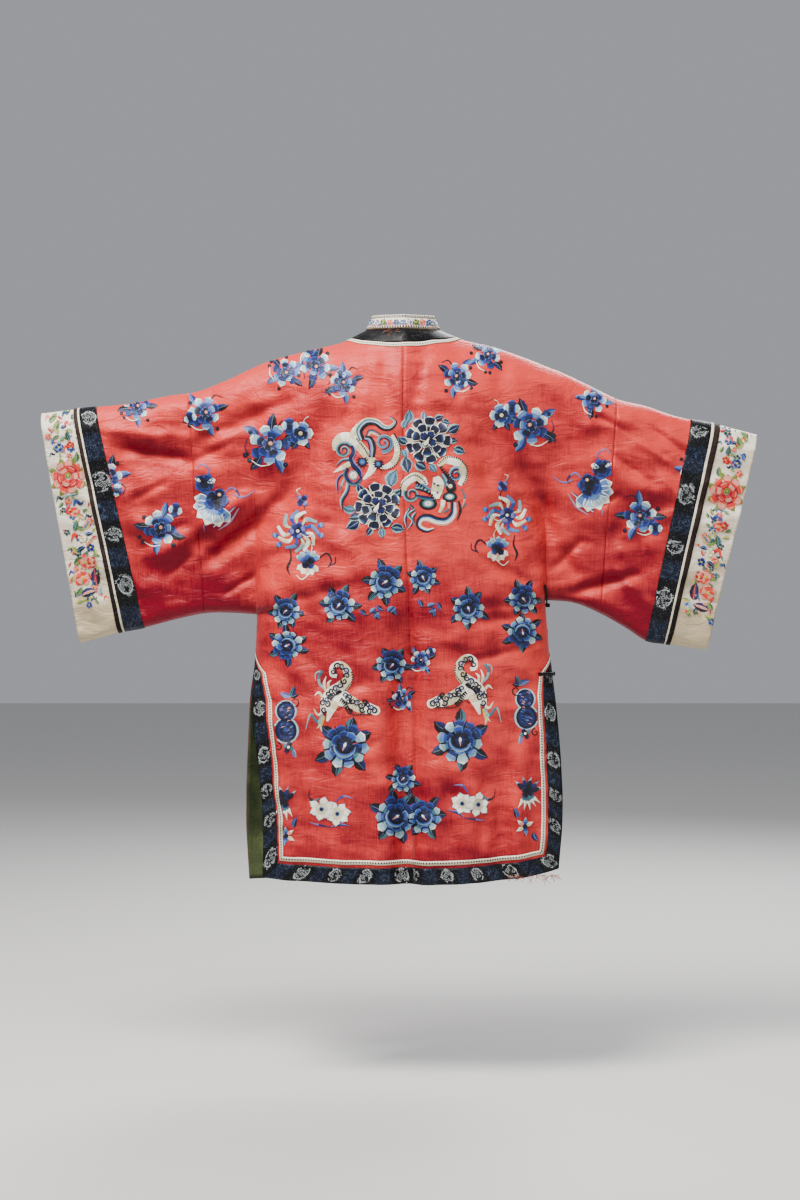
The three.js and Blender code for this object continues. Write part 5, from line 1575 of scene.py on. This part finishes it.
# %% Lions
def round_lion(place):
    """A lion curled among scrolls and flames, as it fills a quarter of a roundel."""
    mane = [(-62, 6), (-61, 20), (-50, 31), (-34, 31), (-19, 18), (-3, 0), (10, -18), (5, -34), (-8, -48)]
    bold(place, mane, [5, 10, 13, 14, 14, 13, 13, 9, 3], "bone snow bone snow", lift=0.45)
    bold(place, [(46, 36), (54, 20), (56, 0), (49, -16), (36, -24), (22, -26)], [4, 8, 10, 10, 8, 3],
         "snow bone snow", lift=0.45)
    scroll(place.at(-45, 7), 15, 1.5, "mist teal night", 8, start=60, way=-1, inner=0.2, lift=0.8)
    scroll(place.at(30, 21), 17, 1.5, "mist teal sky night", 9, start=-170, way=-1, inner=0.2, lift=0.8)
    bold(place, [(-30, 16), (-26, 4), (-31, -8), (-27, -20), (-16, -32), (-12, -44)], [5, 7, 7, 8, 8, 4],
         across="night navy night lilac", lift=1.0)
    bold(place, [(-6, 30), (4, 27), (9, 12), (8, -6)], [6, 10, 11, 7], across="night lilac mist night ink",
         lift=1.0)
    for u, v, r in ((-10, -15, 6), (20, -19, 5)):
        spikes(place.at(u, v), [(r * math.sin(a), r * math.cos(a)) for a in np.linspace(0.4, 5.9, 11)], 10,
               7, 4.4, "ink", side=1, lift=1.1)
        disc(place.at(u, v), r * 1.3, "sky teal cobalt ink", lift=1.3)
    flame = "ink night ice teal bone"
    bold(place, [(-12, 26), (-17, 44), (-4, 60), (15, 60), (30, 50), (44, 50), (52, 61), (42, 70)],
         [10, 12, 12, 10, 9, 7, 5, 2], across=flame, lift=0.5)
    bold(place, [(-2, 28), (4, 42), (18, 38), (30, 30)], [4, 7, 6, 2], across="bone rose teal night",
         lift=0.55)
    bold(place, [(-31, 30), (-27, 44), (-19, 57)], [8, 6, 1.5], "bone snow", lift=0.6)
    bold(place, [(-34, -10), (-48, -12), (-60, -24)], [5, 4, 1], across="mist teal navy", lift=0.6)
    bold(place, [(-33, -18), (-48, -26), (-64, -35)], [8, 7, 1.5], "bone snow", lift=0.7)
    bold(place, [(-38, -26), (-42, -40), (-34, -54), (-22, -56), (-11, -46)], [5, 6, 6.5, 6, 4],
         across="teal night navy", lift=0.9)
    disc(place.at(-27, -40), 9, "bone snow mist", lift=0.6)
    bold(place, [(-40, -34), (-54, -44), (-58, -58), (-56, -74)], [3, 4, 4, 1], across="lilac night",
         lift=0.5)
    bold(place, [(-36, -50), (-39, -70), (-49, -88), (-48, -106)], [5, 6.5, 6, 1.5],
         across="ice teal night", lift=0.5)
    bold(place, [(-44, -46), (-50, -60), (-50, -74)], [2.5, 3, 0.8], "mist teal", lift=0.4)
    beads(place, [(50, 38), (60, 18), (61, -2), (53, -20), (38, -29), (22, -30)], 4.4, 1.3, "ink", lift=1.3)
    beads(place, [(-20, 28), (-6, 10), (4, -6)], 4.4, 1.3, "ink", lift=1.7)
    beads(place, [(-48, 38), (-36, 37), (-26, 30)], 4.6, 0.6, "rose", lift=1.4)


def low_lion(place):
    """A lion seen from above, its head between two dotted scrolls, over its wavy tail."""
    left = [(-62, 2), (-59, 24), (-40, 38), (-26, 32), (-18, 22)]
    right = [(4, 58), (18, 69), (38, 66), (51, 52), (51, 34), (44, 22)]
    for line in (left, right):
        bold(place, line, [6, 12, 13, 12, 6], "bone snow bone snow", lift=0.45)
        beads(place, [(u * 1.1 + 1, v * 1.1 - 1) for u, v in line], 4.2, 1.3, "ink", lift=1.3)
    scroll(place.at(-46, 5), 14, 1.2, "mist teal night", 8, start=-60, way=-1, inner=0.3, lift=0.8)
    scroll(place.at(38, 42), 13, 1.2, "mist sky night", 8, start=20, way=-1, inner=0.3, lift=0.8)
    bold(place, [(-40, 18), (-26, 18), (-12, 10)], [6, 12, 8], across="night mist teal sky", lift=0.7)
    spikes(place, [(-36, 30), (-24, 20), (-8, 6), (2, 0)], 9, 8, 4.6, "ink", side=-1, lift=1.2)
    spikes(place, [(6, 56), (14, 44), (24, 36), (28, 28)], 8, 8, 4.6, "ink", side=1, lift=1.2)
    bold(place, [(12, 44), (20, 30), (22, 16)], [6, 9, 7], across="teal mist night", lift=0.9)
    bold(place, [(0, 38), (4, 24), (1, 8), (2, -4)], [9, 18, 17, 7], "snow bone snow", lift=1.0)
    for u, v in ((-3, 25), (4, 22), (3, 8)):
        for way in (-1, 1):
            bold(place, [(u - 2.2, v + 2 * way), (u + 2.2, v - 2 * way)], [1.1, 1.1], "ink", lift=1.9,
                 crown=0.1)
    bold(place, [(20, 28), (32, 26), (34, 14), (24, 12), (20, 20)], [4, 5, 5, 5, 3], "night ink", lift=1.3)
    disc(place.at(27, 20), 4, "snow bone", lift=1.4)
    for u, v, wide in ((26, 0, 14), (-15, -13, 17)):
        disc(place.at(u, v), wide, "bone snow mist teal ink ink", lift=0.7, tall=0.68)
    bold(place, [(-38, 2), (-22, -2), (-4, -4)], [4, 6, 4], across="teal navy night", lift=1.2)
    bold(place, [(14, -6), (12, -18), (6, -30)], [7, 6, 4], "snow bone", lift=0.6)
    bold(place, [(24, -10), (24, -22), (14, -30)], [4, 4, 2], "rose teal", lift=0.6)
    tail = "ink navy ice snow rose"
    line = [(34, -10), (33, -32), (20, -46), (2, -46), (-14, -40), (-28, -42), (-32, -55), (-18, -63),
            (-4, -60)]
    bold(place, line, [7, 11, 12, 12, 12, 10, 8, 7, 3], across=tail, lift=0.5)
    bold(place, [(43, -8), (46, -26), (40, -45)], [2.5, 4.4, 1], "night ink")
    bold(place, [(50, 14), (54, -4), (49, -20)], [2, 3.6, 0.8], "teal rose")
    bold(place, [(56, -12), (50, -24)], [3, 0.8], "teal olive")
    for line in ([(-40, -24), (-52, -34), (-44, -46), (-54, -62)], [(-50, -22), (-58, -40), (-56, -58)],
                 [(-38, -30), (-44, -40), (-40, -54)]):
        bold(place, line, [3, 4.4, 4, 1], across="ice teal night", lift=0.5)
    scroll(place.at(-50, -24), 8, 1.2, "teal night", 4)


def running_lion(place):
    """A pale lion covered with small scrolls. Its tail curls up over its back."""
    body = [(-8, 39), (-17, 42), (-16, 56), (-3, 62), (10, 52), (13, 34), (0, 18), (-16, 6), (-28, -8),
            (-34, -30)]
    stroke(place, body, [7, 9, 10, 12, 15, 18, 24, 28, 22, 10], "snow bone snow", lift=0.4)
    stroke(place, [(-16, 2), (0, -2), (20, -12), (38, -20), (52, -22), (64, -25)], [30, 31, 25, 21, 22, 16],
           "snow bone snow", lift=0.5)
    stroke(place, [(-12, -8), (-18, -22), (-26, -46)], [22, 17, 4], "bone snow", lift=0.6)
    disc(place.at(65, -26), 9, "snow bone snow", lift=0.5)
    spots = [(-15, 48), (-8, 58), (2, 58), (9, 50), (11, 40), (6, 30), (-2, 22), (-10, 16), (-18, 11),
             (-25, 5), (-20, -1), (-28, -5), (-26, -14), (-34, -12), (-32, -24), (8, 3), (16, -1), (22, -8),
             (14, -8), (30, -12), (38, -16), (44, -10), (50, -16), (57, -19), (62, -26), (54, -28), (40, -24)]
    for i, (u, v) in enumerate(spots):
        tone = ("night", "ink", "night", "navy")[i % 4]
        scroll(place.at(u, v, lift=0.9), 6, 1.2, tone, 3.3, start=60 * i, way=(-1) ** i, inner=0.2)
    spikes(place, [(-18, -8), (-12, 0), (-4, 4), (2, 9)], 8, 10, 5, "ink", side=1, lift=1.5)
    spikes(place, [(2, -2), (10, -10), (16, -20), (22, -24)], 8, 9, 4.6, "ink", side=-1, lift=1.5)
    beads(place, [(-6, -24), (6, -18), (14, -30), (30, -34), (46, -33), (60, -34)], 4, 1.3, "ink", lift=1.4)
    beads(place, [(20, 46), (21, 32), (12, 18), (6, 10)], 4.6, 1.3, "ink", lift=1.4)
    for line, tones in (([(-30, 14), (-40, 24), (-42, 38), (-36, 48), (-48, 44), (-48, 30)],
                         "mist teal mist"), ([(-30, 12), (-32, 26), (-28, 39)], "bone snow"),
                        ([(-24, 16), (-24, 26), (-18, 32)], "bone snow"),
                        ([(-34, -2), (-42, 8), (-50, 2)], "bone snow"),
                        ([(-34, -34), (-44, -48), (-58, -34), (-67, -62)], "mist teal mist"),
                        ([(-36, -30), (-44, -34), (-52, -22)], "snow bone"),
                        ([(-38, -38), (-40, -52), (-46, -60)], "mist bone"),
                        ([(-32, -36), (-38, -56), (-36, -66)], "straw bone")):
        stroke(place, line, [4.4, 5.6, 4, 1.2], tones, lift=0.4)

# %% Flowers for the sleeve bands and the collar
def coral_peony(place, r):
    """A full coral peony with a green heart, for the sleeve bands."""
    tones = ["coral rose pink", "crimson coral rose"]
    for angle in (25, 75, 125, 165, 215, 250, 300, 345):
        leaf(place, angle, r * 0.72, r * 0.42, r * 0.34, "leaf olive leaf", "straw")
    ring(place, 9, r * 0.42, r * 0.56, r * 0.5, tones, 10, "coral", 0.5)
    ring(place, 6, r * 0.14, r * 0.46, r * 0.46, tones[::-1], 30, "crimson", 1.0)
    disc(place.at(0, 0.1 * r), r * 0.16, "straw olive leaf", lift=1.6)


def scattered(place, rows):
    """Small flowers, leaves and sprigs, from a table: right, up, size, kind, turn, tones."""
    for u, v, size, kind, turn, tones in rows:
        spot, size = place.at(u, v), size * 1.4
        if kind == "leaf":
            leaf(spot, turn, -size / 2, size, size * 0.56, tones)
        elif kind == "curl":
            stroke(spot, [(-size / 2, -size / 4), (-size / 6, size / 3), (size / 5, 0),
                          (size / 2, size / 4)], [1.2, size / 3, size / 4, 1], tones)
        else:
            ring(spot, 5, size * 0.1, size * 0.45, size * 0.42, [tones, " ".join(tones.split()[::-1])],
                 turn, lift=0.5)
            disc(spot, size * 0.12, "straw", lift=1.2)


CUFF = [(-14, -12, 13, "leaf", 60, "leaf olive"), (-8, -25, 15, "leaf", 30, "olive leaf"),
        (-13, -32, 12, "leaf", -30, "leaf straw"), (3, -28, 9, "leaf", 80, "night cobalt"),
        (12, -26, 12, "curl", 0, "coral pink"), (9, -46, 14, "leaf", 0, "teal night olive"),
        (-2, -50, 10, "leaf", 60, "leaf mist"), (-12, -66, 13, "flower", 10, "navy sky"),
        (3, -70, 11, "curl", 0, "coral crimson"), (10, -64, 10, "flower", 0, "crimson coral"),
        (17, -88, 13, "leaf", 10, "olive leaf"), (12, -4, 12, "curl", 0, "teal olive"),
        (-22, -8, 10, "curl", 0, "pink rose"), (-4, -190, 15, "flower", 20, "coral rose"),
        (-13, -186, 11, "flower", 0, "crimson coral"), (6, -178, 16, "curl", 0, "cobalt navy"),
        (17, -192, 8, "leaf", 60, "leaf olive"), (-6, -216, 15, "leaf", 20, "olive teal"),
        (3, -222, 12, "leaf", -70, "olive leaf"), (8, -206, 11, "curl", 0, "straw bone"),
        (15, -218, 16, "leaf", 45, "straw cobalt rose"), (17, -236, 10, "leaf", 90, "night cobalt"),
        (-8, -240, 16, "curl", 90, "coral crimson"), (3, -242, 12, "flower", 0, "bone snow"),
        (-2, -262, 12, "leaf", 70, "night navy"), (15, -262, 11, "flower", 0, "night cobalt"),
        (-15, -262, 12, "leaf", -30, "leaf straw"), (6, -272, 9, "leaf", 40, "teal olive"),
        (-10, -284, 17, "leaf", 60, "leaf olive"), (2, -288, 19, "flower", 0, "rose coral"),
        (13, -290, 14, "flower", 30, "rose crimson"), (20, -300, 9, "leaf", 0, "straw leaf"),
        (-9, -316, 22, "flower", 10, "coral rose"), (16, -318, 24, "leaf", 3, "night crimson navy"),
        (-1, -346, 22, "leaf", 82, "night rose navy"), (-18, -340, 12, "leaf", 40, "leaf olive"),
        (-20, -360, 12, "leaf", 80, "leaf straw"), (4, -360, 11, "curl", 0, "rose olive"),
        (20, -345, 11, "leaf", 20, "mist ice"), (-22, -52, 9, "leaf", 20, "cobalt sky"),
        (0, -158, 9, "leaf", 80, "teal mist"), (-12, -160, 8, "leaf", 70, "leaf mist")]


def cuff_flowers(place):
    """The whole garden of a sleeve band, from its top down."""
    tones = ["leaf olive", "navy cobalt sky", "crimson coral rose", "teal night", "leaf straw", "coral pink"]
    for i in range(104):
        v = -3 - 3.55 * i
        if abs(v + 124) > 36:
            row = (chance.uniform(-29, 30), v, chance.uniform(7, 11),
                   ("leaf", "curl", "leaf", "flower")[i % 4], chance.uniform(0, 360))
            scattered(place, [(*row, tones[i % 6])])
    coral_peony(place.at(-4, -124), 34)
    scattered(place.at(0, 0, lift=0.4), CUFF)


# %% [markdown]
# ## Where the motifs go
# Each row gives a motif, the middle of its place on the panel, its size, its turn, and -1 where it is
# flipped. Most come in pairs about the middle of the back, though the hand that drew them was free.

# %% Places on the back
MOTIFS = {"garden_peony": [(110, -784, 47, 0, 1), (-108, -774, 46, 15, -1), (22, -631, 31, 0, 1),
                           (14, -918, 42, 10, 1), (-40, -918, 34, 0, -1), (0, -846, 26, 0, 1),
                           (34, -474, 35, 0, 1), (-38, -466, 27, 0, -1), (121, -518, 32, 0, 1),
                           (-123, -524, 32, 0, -1), (221, -529, 29, 0, 1), (218, -594, 31, 200, 1),
                           (-227, -506, 29, 0, -1), (-225, -569, 31, 200, -1)],
          "spray": [(2, -695, 20, 0, 1), (-34, -622, 20, 0, 1), (374, -155, 31, 0, 1),
                    (459, -372, 34, 0, 1), (-449, -350, 33, 10, -1), (113, -98, 27, 0, 1),
                    (-102, -86, 28, 0, -1), (558, -277, 30, 90, 1), (-552, -262, 27, 90, -1),
                    (502, -143, 26, 0, 1), (-361, -130, 25, 60, -1), (165, -66, 30, 100, 1),
                    (222, -78, 27, 60, 1), (-160, -46, 26, 60, -1)],
          "double_spray": [(236, -209, 50, 0, 1), (-226, -174, 47, 0, -1)],
          "lily": [(356, -315, 64, 0, 1), (-357, -287, 64, 0, -1)],
          "chrysanthemum": [(198, -378, 44, 0, 1), (-196, -348, 42, 0, -1)],
          "curling_bloom": [(179, -438, 46, 0, 1), (-178, -412, 44, 0, -1)],
          "running_lion": [(117, -691, 1, 0, 1), (-119, -678, 1, 0, -1)],
          "gourds": [(221, -737, 22, 0, 1), (-232, -713, 21, -4, -1)],
          "orchid": [(136, -906, 44, 0, 1), (-125, -891, 42, 20, -1)],
          "lotus": [(225, -890, 40, 0, 1), (-234, -872, 40, 0, -1)]}
ROUNDEL_LEAVES = [(15, 110, 20, 10), (101, 87, 20, 60), (111, 46, 18, 110), (9, 41, 14, 160),
                  (13, 20, 24, 170), (39, 18, 18, 120), (-13, -7, 26, 20), (-74, -26, 17, -30),
                  (-5, -34, 17, 60), (-95, -63, 18, -80), (-88, -94, 22, -120), (-5, -101, 20, 100),
                  (-34, -109, 15, 170), (73, 108, 14, 70), (86, 100, 13, 110), (46, 112, 12, 0),
                  (-58, -106, 14, -150), (6, 66, 17, -60), (62, 14, 15, 140), (100, 66, 13, 90),
                  (-84, -80, 18, -100), (10, 96, 14, 20)]


def roundel(place):
    """Two peonies and two lions in a round, each in its quarter."""
    for i, (u, v, size, turn) in enumerate(ROUNDEL_LEAVES):
        spot = place.at(u, v)
        leaf(spot, turn, -size * 0.6, size * 1.3, size * 1.02, "mist ink ink mist", None)
        shade = ("teal sky teal", "night navy night", "navy teal night")[i % 3]
        leaf(spot.at(0, 0, lift=0.3), turn, -size * 0.48, size * 1.06, size * 0.78, shade, "ice")
    ringed_peony(place.at(52, 66), 45, 8)
    ringed_peony(place.at(-42, -59), 45, 30)
    round_lion(place.at(-61, 40))
    low_lion(place.at(68, -41))


def all_motifs(sheet, roundel_at, side, skip=()):
    """Every motif of the tables on one face of the jacket. Side is 1 behind and -1 in front."""
    roundel(Place(*roundel_at, sheet=sheet))
    makers = dict(garden_peony=garden_peony, spray=spray, double_spray=double_spray, lily=lily, gourds=gourds,
                  chrysanthemum=chrysanthemum, curling_bloom=curling_bloom, orchid=orchid, lotus=lotus)
    for kind, rows in MOTIFS.items():
        for i, (x, z, r, turn, flip) in enumerate(rows):
            if (kind, i) in skip:
                continue
            place = Place(-x * side, z, 1, turn, flip, sheet)
            if kind == "running_lion":
                running_lion(place)
            elif kind in ("garden_peony", "spray"):
                makers[kind](place, r, turn=chance.uniform(-20, 20))
            else:
                makers[kind](place, r)
    leaves_row(Place(-42 * side, -530, 1, -12, 1, sheet), 66, 8)
    leaves_row(Place(54 * side, -524, 1, 12, 1, sheet), 44, 5)


# %% [markdown]
# ## Laying the stitches on the cloth
# Each point of a stitched shape is sent along a line of sight to the cloth, and stands off it by its
# height. Shapes that run over an edge, such as a shoulder or the centre seam, are cut there.

# %% Laying
covers = tree_of(*(piece for name, piece in MADE.items()
                   if any(w in name for w in ("border", "ribbon", "strip", "cord", "braid"))))


def laid(name, sheet, tree, side, material):
    """All the patches of a sheet as one piece on the cloth. What a strip covers is left out."""
    eye = Vector((CAMERA_X * 1000, side * CAMERA_AWAY * 1000, CAMERA_Z * 1000))
    points, faces, tones, uvs = [], [], [], []
    for flat, height, shades, along in sheet:
        rows, columns = flat.shape[:2]
        found = []
        for (right, z), up in zip(flat.reshape(-1, 2), height.ravel()):
            aim = (Vector((-right * side, 0, z)) - eye).normalized()
            hit, normal, _, distance = tree.ray_cast(eye, aim)
            over = covers.ray_cast(eye, aim)[3]
            if hit is None or (over is not None and over < distance):
                found.append(None)
                continue
            normal = normal if normal.dot(aim) < 0 else -normal
            found.append(len(points))
            points.append((hit + normal * float(up)) / 1000)
        flat_uv = along.reshape(-1, 2) / 1000
        for c in range(rows - 1):
            for r in range(columns - 1):
                corners = [c * columns + r, (c + 1) * columns + r, (c + 1) * columns + r + 1,
                           c * columns + r + 1]
                if all(found[i] is not None for i in corners):
                    faces.append([found[i] for i in corners])
                    tones.append(shades[c, r])
                    uvs.extend(flat_uv[i] for i in corners)
    mesh = bpy.data.meshes.new(name)
    mesh.from_pydata(points, [], faces)
    mesh.uv_layers.new(name="cut").data.foreach_set("uv", np.array(uvs, np.float32).ravel())
    floss = mesh.color_attributes.new("floss", "FLOAT_COLOR", "CORNER")
    colours = np.concatenate([np.repeat(np.array(tones), 4, 0), np.ones((4 * len(faces), 1))], 1)
    floss.data.foreach_set("color", colours.astype(np.float32).ravel())
    mesh.polygons.foreach_set("use_smooth", np.ones(len(faces), bool))
    mesh.materials.append(material)
    piece = bpy.data.objects.new(name, mesh)
    bpy.context.scene.collection.objects.link(piece)
    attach(piece, "root")
    MADE[name] = piece
    print(name, len(sheet), "shapes", len(faces), "faces")
    return piece


# %% Floss
satin_stitch, tree, shader = material_named("satin stitch", Roughness=0.42, Sheen_Weight=0.1)
floss_colour = put(tree, "ShaderNodeVertexColor", layer_name="floss").outputs[0]
stitches = put(tree, "ShaderNodeMapping", {"Vector": put(tree, "ShaderNodeUVMap", uv_map="cut").outputs[0],
                                           "Scale": (2300, 160, 1)})
strands = noise_of(tree, stitches.outputs[0], 1, 2)
shade = math_of(tree, "MULTIPLY_ADD", strands, 0.7, 0.62)
grey = put(tree, "ShaderNodeCombineColor", {0: shade, 1: shade, 2: shade}).outputs[0]
tree.links.new(blend_colours(tree, 1.0, floss_colour, grey, "MULTIPLY"), shader.inputs["Base Color"])
bumped(tree, shader, strands, 0.0005)

# %% The embroidered sheets
cuffs_tree = tree_of(MADE["sleeve_band_left"], MADE["sleeve_band_right"])
panels_tree = tree_of(*(MADE[n] for n in ("body_left", "body_right", "front_flap", "sleeve_left",
                                          "sleeve_right")))
collar_tree = tree_of(MADE["collar"])
for face, side, centre in (("back", 1, (-5.7, -272)), ("front", -1, (5, -292))):
    sheet, cuff_sheet, collar_sheet = [], [], []
    all_motifs(sheet, centre, side)
    laid("embroidery_" + face, sheet, panels_tree, side, satin_stitch)
    for x, z, turn, flip in ((649, -153, -9.6, 1), (-633, -183, 12, -1)):
        cuff_flowers(Place(-x * side, z, 1, turn * side, flip * side, cuff_sheet))
    laid("band_embroidery_" + face, cuff_sheet, cuffs_tree, side, satin_stitch)
    for i in range(21):
        u = (i - 10) * 6.1
        tones = ("cobalt ice", "coral rose", "lilac snow", "navy sky", "olive leaf")[i % 5]
        scattered(Place(u, 14 + (-32 if side < 0 else 0) + 2.5 * (-1) ** i, 1, 0, 1, collar_sheet),
                  [(0, 0, (8.5, 7)[i % 2], ("flower", "leaf")[i % 2], 40 * i, tones)])
    laid("collar_embroidery_" + face, collar_sheet, collar_tree, side, satin_stitch)

# %% [markdown]
# ## How it lies
# The jacket hangs from the neck and shoulders. Each sheet of cloth is stated with the flat size that
# it was cut to and what it hangs from, so that its drape can be checked against its cut.

# %% Sheets
SHEETS = {
    # name: flat width and length, flat area, how it is held, what it is sewn to, what is on it
    "body_left": (0.43, 2.16, 0.73, "hung", "body_right", ("embroidery_back",)),
    "body_right": (0.42, 2.14, 0.69, "hung", "body_left",
                   ("armpit_strap", "armpit_loop", "slit_loop", "loose_threads")),
    "front_flap": (0.31, 1.07, 0.23, "hung", "body_right", ("embroidery_front", "chest_strap", "slit_strap")),
    "sleeve_left": (0.88, 0.21, 0.178, "hung", "body_left", ()),
    "sleeve_right": (0.84, 0.19, 0.155, "hung", "body_right", ()),
    "sleeve_band_left": (0.92, 0.068, 0.062, "hung", "sleeve_left",
                         ("sleeve_cord_left", "sleeve_braid_left", "band_embroidery_back")),
    "sleeve_band_right": (0.9, 0.068, 0.061, "hung", "sleeve_right",
                          ("sleeve_cord_right", "sleeve_braid_right", "band_embroidery_front")),
    "sleeve_strip_left": (0.034, 0.92, None, "laid", "sleeve_left", ()),
    "sleeve_strip_right": (0.034, 0.9, None, "laid", "sleeve_right", ()),
    "border_back_left": (0.03, 0.68, None, "laid", "body_left", ("ribbon_back_left",)),
    "border_back_right": (0.03, 0.65, None, "laid", "body_right", ("ribbon_back_right",)),
    "border_front_left": (0.03, 0.72, None, "laid", "body_left", ("ribbon_front_left",)),
    "flap_border": (0.03, 1.36, None, "laid", "front_flap", ("flap_ribbon",)),
    "neck_border": (0.034, 0.52, None, "laid", "body_left", ("neck_ribbon",)),
    "front_lining": (0.32, 0.52, 0.163, "hung", "body_left", ()),
    "collar": (0.027, 0.44, None, "stretched", "body_left",
               ("collar_trim_top", "collar_trim_base", "collar_strap", "collar_loop",
                "collar_embroidery_back", "collar_embroidery_front")),
}


def area_of(piece):
    """Half the area of a closed piece's surface, in square metres: the cloth's own area."""
    return sum(face.area for face in piece.data.polygons) / 2


for name, (width, length, area, held, on, others) in SHEETS.items():
    made = area_of(MADE[name])
    print("area", name, round(made, 4), "of", area or round(width * length, 4), "ratio",
          round(made / (area or width * length), 2))
print("triangles", sum(len(f.vertices) - 2 for piece in MADE.values() for f in piece.data.polygons))

# %% [markdown]
# ## Floor and light
# A pale floor and a pale world keep the red honest. One large soft light from the upper left models
# the folds, a weaker one fills from the right, and another lights the front.

# %% Floor
floor_grey, tree, shader = material_named("pale floor", Roughness=0.8)
shader.inputs["Base Color"].default_value = (0.7, 0.69, 0.67, 1)
bpy.ops.mesh.primitive_plane_add(size=30, location=(0, 0, -1.4))
floor = bpy.context.object
floor.name = "floor"
floor.data.materials.append(floor_grey)

# %% World and lights
world = bpy.data.worlds.new("pale room")
world.use_nodes = True
world.node_tree.nodes["Background"].inputs["Color"].default_value = (0.92, 0.94, 1, 1)
world.node_tree.nodes["Background"].inputs["Strength"].default_value = 0.34
bpy.context.scene.world = world
bpy.context.scene.view_settings.look = "AgX - Medium High Contrast"


def soft_light(name, place, target, power, size, colour=(1, 1, 1)):
    light = bpy.data.lights.new(name, "AREA")
    light.energy, light.size, light.color = power, size, colour
    lamp = bpy.data.objects.new(name, light)
    lamp.location = place
    lamp.rotation_euler = (Vector(target) - Vector(place)).to_track_quat("-Z", "Y").to_euler()
    bpy.context.scene.collection.objects.link(lamp)


soft_light("key", (1.2, 1.7, 2.5), (0, 0, -0.4), 190, 1.5, (1, 0.98, 0.95))
soft_light("fill", (-2.4, 3.2, 0.3), (0, 0, -0.5), 30, 2.2, (0.96, 0.98, 1))
soft_light("front", (-1.2, -3.0, 1.6), (0, 0, -0.5), 90, 1.8)
